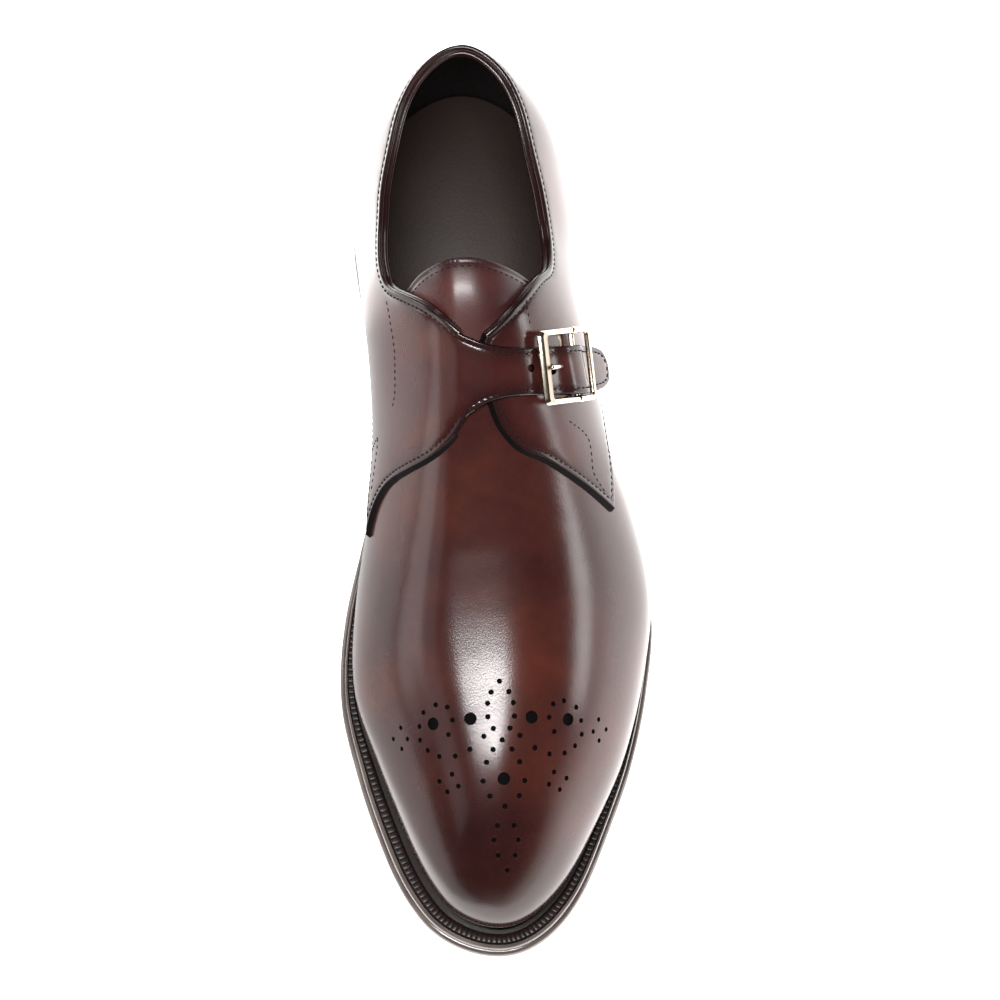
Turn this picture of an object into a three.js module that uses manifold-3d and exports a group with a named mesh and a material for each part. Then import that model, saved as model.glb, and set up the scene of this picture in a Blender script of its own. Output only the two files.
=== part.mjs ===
// A single monk strap shoe for the left foot, empty and standing on its sole.
// Millimetres, +Z up. The toe points to -Y, the heel to +Y and the outer side of the foot to +X.
// Stations along the shoe are shares of its length, from 0 at the heel to 1 at the toe.
import * as THREE from "three";
import { mergeVertices } from "three/addons/utils/BufferGeometryUtils.js";
import Module from "manifold-3d";

const wasm = await Module();
wasm.setup();

// Sole sizes
const LENGTH = 302;
const HEEL_WIDTH = 74.9;
const WAIST_WIDTH = 68.3;
const BALL_WIDTH = 105.5;
const TOE_WIDTH = 72.4;
const HEEL_HEIGHT = 25;
const TOP_PIECE_THICKNESS = 6;
const LIFT_COUNT = 3;
const HEEL_LENGTH = 78;
const HEEL_INSET = 1.2;
const HEEL_TAPER = 1.6;
const OUTSOLE_THICKNESS = 5;
const EDGE_BEVEL = 0.8;
const WELT_THICKNESS = 3;
const WELT_REACH = 8.8;
const WELT_INSET = 1.7;
const INSOLE_THICKNESS = 3.6;
const TOE_SPRING = 9;

// Upper sizes
const BACK_HEIGHT = 55;
const INSTEP_HEIGHT = 86;
const TOE_HEIGHT = 40;
const SWELL = 7.5;
const SHOULDER = 6;
const UPPER_WALL = 1.6;
const QUARTER_THICKNESS = 1.4;
const TONGUE_THICKNESS = 1.8;
const STRAP_THICKNESS = 1.6;
const CLEARANCE = 0.3;

// Buckle sizes
const BUCKLE_LENGTH = 28;
const BUCKLE_WIDTH = 24.5;
const BUCKLE_THICKNESS = 2;
const BUCKLE_CORNER = 2.2;
const FRONT_BAR_WIDTH = 4.4;
const BACK_BAR_WIDTH = 2.2;
const SIDE_BAR_WIDTH = 2;
const CENTRE_BAR_DIAMETER = 2;
const PRONG_DIAMETER = 1.6;
const PRONG_HOLE_DIAMETER = 4;

// Underside of the sole: where the seat ends, and where the flat tread begins and ends
const SEAT_END = 0.1;
const TREAD_START = 0.6;
const TREAD_END = 0.66;
const ARCH_BIAS = 1.3;
const SPRING_CURVE = 1.7;

// Fineness of the curved solids
const STATION_COUNT = 38;
const RISE_COUNT = 12;

const HALF = LENGTH / 2;
const SEAT = HEEL_HEIGHT + OUTSOLE_THICKNESS + WELT_THICKNESS;
const SIGN = { medial: -1, lateral: 1 };

// Stations behind and ahead of the shoe, and one in the middle of the collar's opening
const BEHIND = -0.1;
const AHEAD = 1.1;
const IN_OPENING = 0.25;

// Half widths of the sole's outermost edge, as shares of the width named in the row
const SOLE_OUTLINE = [
  { at: 0.03, of: HEEL_WIDTH, medial: 0.294, lateral: 0.28 },
  { at: 0.08, of: HEEL_WIDTH, medial: 0.441, lateral: 0.419 },
  { at: 0.13, of: HEEL_WIDTH, medial: 0.494, lateral: 0.47 },
  { at: 0.19, of: HEEL_WIDTH, medial: 0.514, lateral: 0.486 },
  { at: 0.27, of: HEEL_WIDTH, medial: 0.481, lateral: 0.465 },
  { at: 0.36, of: WAIST_WIDTH, medial: 0.461, lateral: 0.539 },
  { at: 0.44, of: WAIST_WIDTH, medial: 0.486, lateral: 0.63 },
  { at: 0.52, of: BALL_WIDTH, medial: 0.379, lateral: 0.483 },
  { at: 0.6, of: BALL_WIDTH, medial: 0.441, lateral: 0.536 },
  { at: 0.7, of: BALL_WIDTH, medial: 0.466, lateral: 0.505 },
  { at: 0.79, of: BALL_WIDTH, medial: 0.423, lateral: 0.438 },
  { at: 0.88, of: TOE_WIDTH, medial: 0.511, lateral: 0.489 },
  { at: 0.94, of: TOE_WIDTH, medial: 0.4, lateral: 0.362 },
  { at: 0.98, of: TOE_WIDTH, medial: 0.253, lateral: 0.215 },
];

// Feather line, where the upper meets the welt, as shares of the welt's reach from the edge
const FEATHER = [
  { at: 0, medial: 0.5, lateral: 0.5 },
  { at: 0.1, medial: 0.48, lateral: 0.48 },
  { at: 0.25, medial: 0.48, lateral: 0.48 },
  { at: 0.42, medial: 0.51, lateral: 0.55 },
  { at: 0.58, medial: 0.57, lateral: 0.57 },
  { at: 0.7, medial: 0.68, lateral: 0.52 },
  { at: 0.8, medial: 0.94, lateral: 0.55 },
  { at: 0.9, medial: 1.02, lateral: 0.75 },
  { at: 1, medial: 1, lateral: 1 },
];

// Station of the crest that each column of the last climbs to
const CREST_STATION = [
  { at: 0, crest: 0.067 },
  { at: 0.05, crest: 0.09 },
  { at: 0.1, crest: 0.125 },
  { at: 0.2, crest: 0.21 },
  { at: 0.3, crest: 0.3 },
  { at: 0.5, crest: 0.5 },
  { at: 0.65, crest: 0.635 },
  { at: 0.8, crest: 0.735 },
  { at: 0.9, crest: 0.775 },
  { at: 1, crest: 0.8 },
];

// Sideways place of the crest, as shares of the ball width
const CREST_LEAN = [
  { at: 0.06, across: -0.019 },
  { at: 0.12, across: -0.034 },
  { at: 0.2, across: -0.047 },
  { at: 0.3, across: -0.047 },
  { at: 0.42, across: -0.047 },
  { at: 0.55, across: -0.038 },
  { at: 0.7, across: -0.014 },
  { at: 0.85, across: 0 },
];

// Height of the crest over the feather line, as shares of the height named in the row
const CREST_HEIGHT = [
  { at: 0, of: BACK_HEIGHT, height: 1.145 },
  { at: 0.08, of: BACK_HEIGHT, height: 1.2 },
  { at: 0.16, of: BACK_HEIGHT, height: 1.26 },
  { at: 0.24, of: INSTEP_HEIGHT, height: 0.9 },
  { at: 0.3, of: INSTEP_HEIGHT, height: 0.99 },
  { at: 0.35, of: INSTEP_HEIGHT, height: 1.005 },
  { at: 0.4, of: INSTEP_HEIGHT, height: 0.965 },
  { at: 0.45, of: INSTEP_HEIGHT, height: 0.925 },
  { at: 0.5, of: INSTEP_HEIGHT, height: 0.87 },
  { at: 0.55, of: INSTEP_HEIGHT, height: 0.81 },
  { at: 0.6, of: INSTEP_HEIGHT, height: 0.743 },
  { at: 0.65, of: INSTEP_HEIGHT, height: 0.68 },
  { at: 0.7, of: INSTEP_HEIGHT, height: 0.627 },
  { at: 0.75, of: TOE_HEIGHT, height: 1.245 },
  { at: 0.8, of: TOE_HEIGHT, height: 1.14 },
  { at: 0.87, of: TOE_HEIGHT, height: 0.99 },
  { at: 1, of: TOE_HEIGHT, height: 0.72 },
];

// Sections of the last: how round the crest and each wall are, two being an ellipse, how far
// each wall swells low down, as a share of the swell, and higher up, as a share of the shoulder
const SECTIONS = [
  { at: 0, crest: 2.1, medial: 2.1, lateral: 2.1, medialSwell: 0.2, lateralSwell: 0.2,
    medialShoulder: 0, lateralShoulder: 0 },
  { at: 0.06, crest: 2.1, medial: 2, lateral: 1.95, medialSwell: 0.27, lateralSwell: 0.27,
    medialShoulder: 0, lateralShoulder: 0 },
  { at: 0.15, crest: 2, medial: 1.75, lateral: 1.6, medialSwell: 0.47, lateralSwell: 0.4,
    medialShoulder: 0, lateralShoulder: 0 },
  { at: 0.22, crest: 2.1, medial: 1.8, lateral: 1.6, medialSwell: 0.5, lateralSwell: 0.6,
    medialShoulder: 0.1, lateralShoulder: 0 },
  { at: 0.28, crest: 2.3, medial: 1.85, lateral: 1.65, medialSwell: 0.55, lateralSwell: 0.75,
    medialShoulder: 0.5, lateralShoulder: 0.2 },
  { at: 0.36, crest: 2.45, medial: 1.9, lateral: 1.7, medialSwell: 0.85, lateralSwell: 0.8,
    medialShoulder: 0.45, lateralShoulder: 0.6 },
  { at: 0.45, crest: 2.45, medial: 1.9, lateral: 1.7, medialSwell: 0.75, lateralSwell: 0.7,
    medialShoulder: 0.15, lateralShoulder: 0.6 },
  { at: 0.52, crest: 2.35, medial: 1.85, lateral: 1.8, medialSwell: 0.6, lateralSwell: 0.85,
    medialShoulder: 0, lateralShoulder: 0.3 },
  { at: 0.6, crest: 2.3, medial: 1.85, lateral: 1.85, medialSwell: 0.4, lateralSwell: 0.75,
    medialShoulder: 0, lateralShoulder: 0.05 },
  { at: 0.72, crest: 2.3, medial: 2, lateral: 2, medialSwell: 0.35, lateralSwell: 0.5,
    medialShoulder: 0, lateralShoulder: 0 },
  { at: 0.85, crest: 2.3, medial: 2.1, lateral: 2.1, medialSwell: 0.25, lateralSwell: 0.35,
    medialShoulder: 0, lateralShoulder: 0 },
  { at: 1, crest: 2.25, medial: 2.25, lateral: 2.25, medialSwell: 0.2, lateralSwell: 0.2,
    medialShoulder: 0, lateralShoulder: 0 },
];

// Top line of the collar seen from the side, as shares of the back height over the seat
const TOPLINE = [
  { at: 0.03, height: 1 },
  { at: 0.06, height: 0.985 },
  { at: 0.1, height: 0.945 },
  { at: 0.18, height: 0.875 },
  { at: 0.25, height: 0.9 },
  { at: 0.3, height: 1.02 },
  { at: 0.33, height: 1.2 },
];

// Front edges of the quarters seen from above, sideways as shares of the ball width.
// The throat edges run forward from the collar, the wing edges on to the tip of each quarter.
const MEDIAL_THROAT = [
  { at: 0.313, across: -0.294 },
  { at: 0.332, across: -0.245 },
  { at: 0.358, across: -0.159 },
  { at: 0.381, across: -0.088 },
  { at: 0.398, across: -0.014 },
];
const MEDIAL_WING = [
  { at: 0.491, across: -0.1 },
  { at: 0.502, across: -0.176 },
  { at: 0.503, across: -0.268 },
  { at: 0.51, across: -0.341 },
  { at: 0.536, across: -0.392 },
];
const LATERAL_THROAT = [
  { at: 0.319, across: 0.19 },
  { at: 0.348, across: 0.136 },
  { at: 0.375, across: 0.064 },
  { at: 0.389, across: 0.007 },
  { at: 0.402, across: 0 },
];
const LATERAL_WING = [
  { at: 0.457, across: 0.026 },
  { at: 0.48, across: 0.057 },
  { at: 0.498, across: 0.106 },
  { at: 0.506, across: 0.201 },
  { at: 0.525, across: 0.323 },
  { at: 0.54, across: 0.418 },
];

// Lower seams of the quarters seen from the side, from the waist to the tip,
// as shares of the back height over the feather line
const QUARTER_SEAM = [
  { at: 0.25, medial: -0.2, lateral: -0.2 },
  { at: 0.27, medial: 0.02, lateral: 0.02 },
  { at: 0.3, medial: 0.14, lateral: 0.22 },
  { at: 0.33, medial: 0.22, lateral: 0.36 },
  { at: 0.38, medial: 0.31, lateral: 0.54 },
  { at: 0.45, medial: 0.44, lateral: 0.7 },
  { at: 0.56, medial: 0.58, lateral: 0.83 },
];

// Heights over the upper of what lies on the lateral quarter under the buckle
const QUARTER_TOP = CLEARANCE + QUARTER_THICKNESS;
const CENTRE_BAR_HEIGHT = QUARTER_TOP + 2 * CLEARANCE + CENTRE_BAR_DIAMETER / 2;
const STRAP_LOW = QUARTER_TOP + CLEARANCE;
const STRAP_OVER_PRONG = STRAP_LOW + PRONG_DIAMETER + 2 * CLEARANCE;
const STRAP_OVER_BAR = CENTRE_BAR_HEIGHT + CENTRE_BAR_DIAMETER / 2 + 2 * CLEARANCE;

// Strap, in rows from the medial quarter over the instep to its tip. Across runs over the
// section from 0 at the crest to 1 at the lateral feather line, rear and front are stations,
// and lift is the height of its underside over the upper.
const STRAP = [
  { across: -0.115, rear: 0.3765, front: 0.4825, lift: CLEARANCE },
  { across: -0.085, rear: 0.3795, front: 0.479, lift: STRAP_LOW * 0.2 },
  { across: -0.02, rear: 0.387, front: 0.469, lift: STRAP_LOW * 0.6 },
  { across: 0.04, rear: 0.394, front: 0.4535, lift: STRAP_LOW },
  { across: 0.105, rear: 0.398, front: 0.4475, lift: STRAP_LOW },
  { across: 0.18, rear: 0.398, front: 0.4435, lift: STRAP_LOW },
  { across: 0.27, rear: 0.3935, front: 0.4395, lift: STRAP_LOW },
  { across: 0.33, rear: 0.389, front: 0.4355, lift: STRAP_LOW },
  { across: 0.375, rear: 0.3855, front: 0.4325, lift: STRAP_OVER_PRONG },
  { across: 0.41, rear: 0.3825, front: 0.43, lift: STRAP_OVER_BAR },
  { across: 0.45, rear: 0.379, front: 0.427, lift: STRAP_OVER_BAR },
  { across: 0.485, rear: 0.376, front: 0.4225, lift: STRAP_LOW },
  { across: 0.53, rear: 0.372, front: 0.416, lift: STRAP_LOW },
  { across: 0.565, rear: 0.3685, front: 0.4115, lift: STRAP_LOW * 1.4 },
  { across: 0.605, rear: 0.366, front: 0.4045, lift: STRAP_LOW * 1.9 },
  { across: 0.635, rear: 0.3665, front: 0.3965, lift: STRAP_LOW * 2.3 },
  { across: 0.65, rear: 0.3735, front: 0.3835, lift: STRAP_LOW * 2.6 },
];

// Place of the buckle, in the same coordinates as the strap, and its turn over them in radians
const BUCKLE_STATION = 0.404;
const BUCKLE_ACROSS = 0.3823;
const BUCKLE_TURN = -0.12;
const CENTRE_BAR_SHARE = 0.694;

// Prong, from the centre bar to the front bar: shares of the way along and of the way up.
// The strap's hole for it has its own share of the way along.
const PRONG = [
  { along: 0, up: 0 },
  { along: 0.34, up: 0 },
  { along: 0.59, up: 0.6 },
  { along: 1.03, up: 1.03 },
];
const PRONG_HOLE_ALONG = 0.53;

// Tongue: its top edge and how far that bows, its hidden lower end, and its columns to each side
const TONGUE_TOP = 0.308;
const TONGUE_BOW = 0.015;
const TONGUE_END = 0.5;
const TONGUE_COLUMNS = 5;

const leather = (color) => ({ color, roughness: 0.32, metalness: 0 });
const rubber = { color: 0x1a1413, roughness: 0.7, metalness: 0 };
const metal = { color: 0xc9b9a0, roughness: 0.2, metalness: 1 };

// Smooth curve through one column of a table, at a station
function smooth(rows, column, at) {
  const last = rows.length - 1;
  let low = 0;
  while (low < last - 1 && at > rows[low + 1].at) {
    low += 1;
  }
  const run = (row) => rows[row + 1].at - rows[row].at;
  const secant = (row) => (rows[row + 1][column] - rows[row][column]) / run(row);
  const slope = (row) => {
    if (row === 0) {
      return secant(0);
    }
    if (row === last) {
      return secant(last - 1);
    }
    const both = run(row - 1) + run(row);
    return (secant(row) * run(row - 1) + secant(row - 1) * run(row)) / both;
  };
  const share = THREE.MathUtils.clamp((at - rows[low].at) / run(low), 0, 1);
  const back = 1 - share;
  const start = rows[low][column] * (1 + 2 * share) * back ** 2;
  const end = rows[low + 1][column] * (3 - 2 * share) * share ** 2;
  const bend = run(low) * share * back * (slope(low) * back - slope(low + 1) * share);
  return start + end + bend;
}

// Tables whose rows name the size that they follow, turned into millimetres once
const roundEnd = (at) => 2 * Math.sqrt(Math.max(at * (1 - at), 0));
const edgeRows = SOLE_OUTLINE.map((row) => ({
  at: row.at,
  medial: (row.of * row.medial) / roundEnd(row.at),
  lateral: (row.of * row.lateral) / roundEnd(row.at),
}));
const EDGE = [{ ...edgeRows[0], at: 0 }, ...edgeRows, { ...edgeRows.at(-1), at: 1 }];
const CREST_RISE = CREST_HEIGHT.map((row) => ({ at: row.at, height: row.of * row.height }));

const yAt = (at) => HALF - at * LENGTH;
const stationAt = (y) => (HALF - y) / LENGTH;
const halfWidth = (side, at) => smooth(EDGE, side, at) * roundEnd(at);

// Height of the outsole's underside: seat, arch, flat tread and toe spring
function undersideAt(at) {
  if (at <= SEAT_END) {
    return HEEL_HEIGHT;
  }
  if (at < TREAD_START) {
    const share = ((at - SEAT_END) / (TREAD_START - SEAT_END)) ** ARCH_BIAS;
    return HEEL_HEIGHT * (1 - share * share * (3 - 2 * share));
  }
  if (at <= TREAD_END) {
    return 0;
  }
  return TOE_SPRING * ((at - TREAD_END) / (1 - TREAD_END)) ** SPRING_CURVE;
}

const featherHeight = (at) => undersideAt(at) + OUTSOLE_THICKNESS + WELT_THICKNESS + CLEARANCE;

// Point of the sole's outline, moved inwards along the outline's normal
function solePoint(side, at, inset) {
  const turn = Math.acos(THREE.MathUtils.clamp(1 - 2 * at, -1, 1));
  const place = (angle) => {
    const share = (1 - Math.cos(angle)) / 2;
    const half = halfWidth(side, share) * SIGN[side] * (Math.sin(angle) < 0 ? -1 : 1);
    return new THREE.Vector2(half, yAt(share));
  };
  const step = 0.001;
  const along = place(turn + step).sub(place(turn - step)).normalize();
  const outward = new THREE.Vector2(-along.y, along.x).multiplyScalar(SIGN[side]);
  return place(turn).addScaledVector(outward, -inset);
}

const featherInset = (side, at) => smooth(FEATHER, side, at) * WELT_REACH;

// Point of the last's surface. Turn goes round the shoe, from 0 at the heel to plus or minus
// pi at the toe, lateral side positive. Rise climbs the column, from the feather line to the crest.
function lastPoint(turn, rise) {
  const side = Math.sin(turn) < 0 ? "medial" : "lateral";
  const at = (1 - Math.cos(turn)) / 2;
  const crest = crestPoint(at);
  const foot = solePoint(side, at, featherInset(side, at));
  const outward = foot.clone().sub(new THREE.Vector2(crest.x, crest.y));
  const angle = (Math.min(rise, 1) * Math.PI) / 2;
  const reach = rise >= 1 ? 0 : Math.cos(angle) ** (2 / smooth(SECTIONS, "crest", at));
  const climb = Math.sin(angle) ** (2 / smooth(SECTIONS, side, at));
  const swell = SWELL * smooth(SECTIONS, `${side}Swell`, at) * 6.75 * climb * (1 - climb) ** 2;
  const shoulder = SHOULDER * smooth(SECTIONS, `${side}Shoulder`, at) * 6.75 * climb ** 2 * (1 - climb);
  const distance = outward.length() * reach + swell + shoulder;
  const place = outward.normalize().multiplyScalar(distance);
  const x = crest.x + place.x;
  const y = crest.y + place.y;
  const own = stationAt(y);
  const base = featherHeight(stationAt(foot.y));
  const top = featherHeight(own) + smooth(CREST_RISE, "height", own);
  return new THREE.Vector3(x, y, base + (top - base) * climb);
}

// Point of the crest line that the column at a station climbs to
function crestPoint(at) {
  const station = smooth(CREST_STATION, "crest", at);
  const height = featherHeight(station) + smooth(CREST_RISE, "height", station);
  return new THREE.Vector3(smooth(CREST_LEAN, "across", station) * BALL_WIDTH, yAt(station), height);
}

// Outward normal of the last, the same on both sides along the crest and level at the feather line
function lastNormal(turn, rise) {
  const step = 0.02;
  if (rise >= 1) {
    const at = (1 - Math.cos(turn)) / 2;
    const along = crestPoint(Math.min(at + step, 1)).sub(crestPoint(Math.max(at - step, 0)));
    return new THREE.Vector3(0, along.z, -along.y).normalize();
  }
  const round = lastPoint(turn + step, rise).sub(lastPoint(turn - step, rise));
  const up = lastPoint(turn, Math.min(rise + step, 1)).sub(lastPoint(turn, Math.max(rise - step, 0)));
  const normal = new THREE.Vector3().crossVectors(up, round);
  return rise > 0 ? normal.normalize() : normal.setZ(0).normalize();
}

function skinPoint(turn, rise, offset) {
  const point = lastPoint(turn, rise).addScaledVector(lastNormal(turn, rise), offset);
  return rise > 0 ? point : point.setZ(featherHeight(stationAt(point.y)));
}

// Point over one section: across runs from -1 at the medial feather line to 1 at the lateral one
function sectionPoint(at, across, offset) {
  const turn = Math.acos(1 - 2 * at) * (across < 0 ? -1 : 1);
  return skinPoint(turn, 1 - Math.abs(across), offset);
}

// Closed mesh through loops of points. Caps join each point of a loop to its partner.
function loft(loops, partner, ring = false) {
  const count = loops[0].length;
  const faces = [];
  const quad = (a, b, c, d) => faces.push(a, b, c, a, c, d);
  const bands = ring ? loops.length : loops.length - 1;
  for (let band = 0; band < bands; band += 1) {
    const low = band * count;
    const high = ((band + 1) % loops.length) * count;
    for (let i = 0; i < count; i += 1) {
      const next = (i + 1) % count;
      quad(low + i, low + next, high + next, high + i);
    }
  }
  const top = (loops.length - 1) * count;
  for (let i = 0; partner && i + 1 <= partner(i + 1); i += 1) {
    quad(i, partner(i), partner(i + 1), i + 1);
    quad(top + i + 1, top + partner(i + 1), top + partner(i), top + i);
  }
  const geometry = new THREE.BufferGeometry().setFromPoints(loops.flat());
  geometry.setIndex(faces);
  return solid(geometry);
}

// Solid of a closed mesh, with its shared vertices merged and its empty triangles left out
function solid(geometry) {
  const bare = geometry.clone();
  bare.deleteAttribute("normal");
  bare.deleteAttribute("uv");
  const merged = mergeVertices(bare);
  const index = merged.index.array;
  const kept = [];
  for (let i = 0; i < index.length; i += 3) {
    const [a, b, c] = index.slice(i, i + 3);
    if (a !== b && b !== c && c !== a) {
      kept.push(a, b, c);
    }
  }
  const vertProperties = new Float32Array(merged.attributes.position.array);
  const triVerts = new Uint32Array(kept);
  return new wasm.Manifold(new wasm.Mesh({ numProp: 3, vertProperties, triVerts }));
}

function piece(name, body, finish) {
  const { vertProperties, triVerts } = body.getMesh();
  const geometry = new THREE.BufferGeometry();
  geometry.setAttribute("position", new THREE.BufferAttribute(vertProperties, 3));
  geometry.setIndex(new THREE.BufferAttribute(triVerts, 1));
  geometry.computeVertexNormals();
  const mesh = new THREE.Mesh(geometry, new THREE.MeshStandardMaterial(finish));
  mesh.name = name;
  return mesh;
}

// Stations closer together at the round ends, with one on each end of the flat tread
function stationsTo(end) {
  const stations = [];
  for (let i = 0; i <= STATION_COUNT; i += 1) {
    stations.push((1 - Math.cos((Math.PI * i) / STATION_COUNT)) / 2);
  }
  for (const pinned of [TREAD_START, TREAD_END, end]) {
    const gaps = stations.map((at) => Math.abs(at - pinned));
    stations[gaps.indexOf(Math.min(...gaps))] = pinned;
  }
  return stations.filter((at) => at <= end);
}

const STATIONS = stationsTo(1);

// Both sides of each station as one loop round the shoe, medial side first
function roundLoop(stations, pointAt) {
  const medial = stations.map((at) => pointAt("medial", at));
  const closedToe = stations.at(-1) === 1;
  const back = stations.slice(1, closedToe ? -1 : undefined).reverse();
  return [...medial, ...back.map((at) => pointAt("lateral", at))];
}

const acrossLoop = (count) => (i) => (i === 0 ? 0 : count - i);

// Layer of the sole, lofted from rings that each have an inset and a height
function layer(stations, rings) {
  const loops = rings.map((ring) => roundLoop(stations, (side, at) => {
    const place = solePoint(side, at, ring.inset(side, at));
    return new THREE.Vector3(place.x, place.y, ring.height(stationAt(place.y)));
  }));
  return { loops, partner: acrossLoop(loops[0].length) };
}

function capped({ loops, partner }) {
  return loft(loops, partner);
}

function hollow({ loops }) {
  return loft(loops, null, true);
}

const turnOf = (side, at) => SIGN[side] * Math.acos(1 - 2 * at);

// Whole last, grown by an offset and lengthened downwards by a drop
function form(offset, drop) {
  const loops = [];
  const foot = roundLoop(STATIONS, (side, at) => skinPoint(turnOf(side, at), 0, offset));
  if (drop > 0) {
    loops.push(foot.map((point) => point.clone().setZ(point.z - drop)));
  }
  loops.push(foot);
  for (let row = 1; row <= RISE_COUNT; row += 1) {
    const rise = row / RISE_COUNT;
    loops.push(roundLoop(STATIONS, (side, at) => skinPoint(turnOf(side, at), rise, offset)));
  }
  return loft(loops, acrossLoop(loops[0].length));
}

// Thick sheet between two offsets, through rows of points that run across the shoe
function sheet(rows, pointAt) {
  const loops = rows.map((row) => [...pointAt(row, "under"), ...pointAt(row, "over").reverse()]);
  const count = loops[0].length;
  return loft(loops, (i) => count - 1 - i);
}

// Upright prism over an outline seen from above
function standingPrism(outline) {
  const height = 3 * INSTEP_HEIGHT;
  const shape = new THREE.Shape(outline);
  const geometry = new THREE.ExtrudeGeometry(shape, { depth: height, bevelEnabled: false });
  geometry.translate(0, 0, -WELT_THICKNESS);
  return solid(geometry);
}

// Prism across the shoe over an outline seen from the side, as points of y and z
function lyingPrism(outline) {
  const width = 2 * BALL_WIDTH;
  const shape = new THREE.Shape(outline);
  const geometry = new THREE.ExtrudeGeometry(shape, { depth: width, bevelEnabled: false });
  const across = new THREE.Vector3(1, 0, 0);
  const along = new THREE.Vector3(0, 1, 0);
  const up = new THREE.Vector3(0, 0, 1);
  geometry.applyMatrix4(new THREE.Matrix4().makeBasis(along, up, across));
  geometry.translate(-BALL_WIDTH, 0, 0);
  return solid(geometry);
}

const plan = (row) => new THREE.Vector2(row.across * BALL_WIDTH, yAt(row.at));
const curve = (points, pieces) => new THREE.SplineCurve(points).getPoints(pieces);

// Space over the collar, seen from the side
function collarSpace() {
  const line = TOPLINE.map((row) => new THREE.Vector2(yAt(row.at), SEAT + row.height * BACK_HEIGHT));
  const top = SEAT + 3 * BACK_HEIGHT;
  const edge = curve(line, 20);
  const behind = new THREE.Vector2(yAt(BEHIND), edge[0].y);
  const outline = [behind, ...edge];
  outline.push(new THREE.Vector2(edge.at(-1).x, top));
  outline.push(new THREE.Vector2(behind.x, top));
  return lyingPrism(outline);
}

// Wedge between the quarters, seen from above
function throatSpace() {
  const medial = curve(MEDIAL_THROAT.map(plan), 8);
  const lateral = curve(LATERAL_THROAT.map(plan), 8).reverse();
  const rear = { at: IN_OPENING, across: 0 };
  return standingPrism([plan(rear), ...medial, ...lateral]);
}

// Everything below and ahead of a quarter's lower seam, seen from the side
function belowSeam(side) {
  const line = QUARTER_SEAM.map((row) =>
    new THREE.Vector2(yAt(row.at), featherHeight(row.at) + row[side] * BACK_HEIGHT));
  const edge = curve(line, 16);
  const low = -HEEL_HEIGHT;
  return lyingPrism([
    ...edge,
    new THREE.Vector2(yAt(AHEAD), edge.at(-1).y),
    new THREE.Vector2(yAt(AHEAD), low),
    new THREE.Vector2(edge[0].x, low),
  ]);
}

// Seen from above, each quarter runs from the back seam to its front edges
function quarterOutline(side, throat, wing) {
  const seam = (CLEARANCE / 2 / BALL_WIDTH) * SIGN[side];
  const far = SIGN[side];
  return [
    plan({ at: BEHIND, across: seam }),
    plan({ at: IN_OPENING, across: seam }),
    ...curve(throat.map(plan), 8),
    ...curve(wing.map(plan), 10),
    plan({ at: wing.at(-1).at, across: far }),
    plan({ at: BEHIND, across: far }),
  ];
}

// Skin of leather over the upper, between two of its offsets
function quarterSkin() {
  return form(QUARTER_TOP, 0).subtract(form(CLEARANCE, 2 * WELT_THICKNESS));
}

function quarter(side, throat, wing) {
  return quarterSkin()
    .intersect(standingPrism(quarterOutline(side, throat, wing)))
    .subtract(belowSeam(side))
    .subtract(collarSpace());
}

function upper() {
  return form(0, 0)
    .subtract(form(-UPPER_WALL, 2 * WELT_THICKNESS))
    .subtract(collarSpace())
    .subtract(throatSpace());
}

// Tongue: a sheet under the upper that closes the throat, with a slightly bowed top edge
function tongue() {
  const over = -UPPER_WALL - CLEARANCE;
  const under = over - TONGUE_THICKNESS;
  const within = STATIONS.filter((at) => at > TONGUE_TOP + 0.02 && at < TONGUE_END);
  const rows = [TONGUE_TOP, ...within, TONGUE_END];
  const pointsAt = (row, face) => {
    const points = [];
    for (let i = -TONGUE_COLUMNS; i <= TONGUE_COLUMNS; i += 1) {
      const bow = row === TONGUE_TOP ? TONGUE_BOW * (i / TONGUE_COLUMNS) ** 2 : 0;
      points.push(sectionPoint(row + bow, i / RISE_COUNT, face === "over" ? over : under));
    }
    return points;
  };
  return sheet(rows, pointsAt);
}

// Strap, lofted row by row over the instep
function strap() {
  const pointsAt = (row, face) => {
    const lift = row.lift + (face === "over" ? STRAP_THICKNESS : 0);
    return [1, 2 / 3, 1 / 3, 0].map((share) =>
      sectionPoint(row.rear + (row.front - row.rear) * share, row.across, lift));
  };
  return sheet(STRAP, pointsAt);
}

// Frame of the buckle: along runs to the strap's tip, width over the strap, out from the shoe
function buckleAxes() {
  const step = 0.01;
  const centre = sectionPoint(BUCKLE_STATION, BUCKLE_ACROSS, 0);
  const width = sectionPoint(BUCKLE_STATION - step, BUCKLE_ACROSS, 0)
    .sub(sectionPoint(BUCKLE_STATION + step, BUCKLE_ACROSS, 0)).normalize();
  const reach = 8 * step;
  const chord = sectionPoint(BUCKLE_STATION, BUCKLE_ACROSS + reach, 0)
    .sub(sectionPoint(BUCKLE_STATION, BUCKLE_ACROSS - reach, 0));
  const out = new THREE.Vector3().crossVectors(chord, width).normalize();
  const along = new THREE.Vector3().crossVectors(width, out);
  const turned = new THREE.Matrix4().makeRotationZ(BUCKLE_TURN);
  return new THREE.Matrix4().makeBasis(along, width, out).multiply(turned).setPosition(centre);
}

const FRAME_HEIGHT = STRAP_LOW + STRAP_THICKNESS - CLEARANCE / 2;
const CENTRE_BAR_ALONG = BUCKLE_LENGTH * (CENTRE_BAR_SHARE - 0.5);

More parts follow.
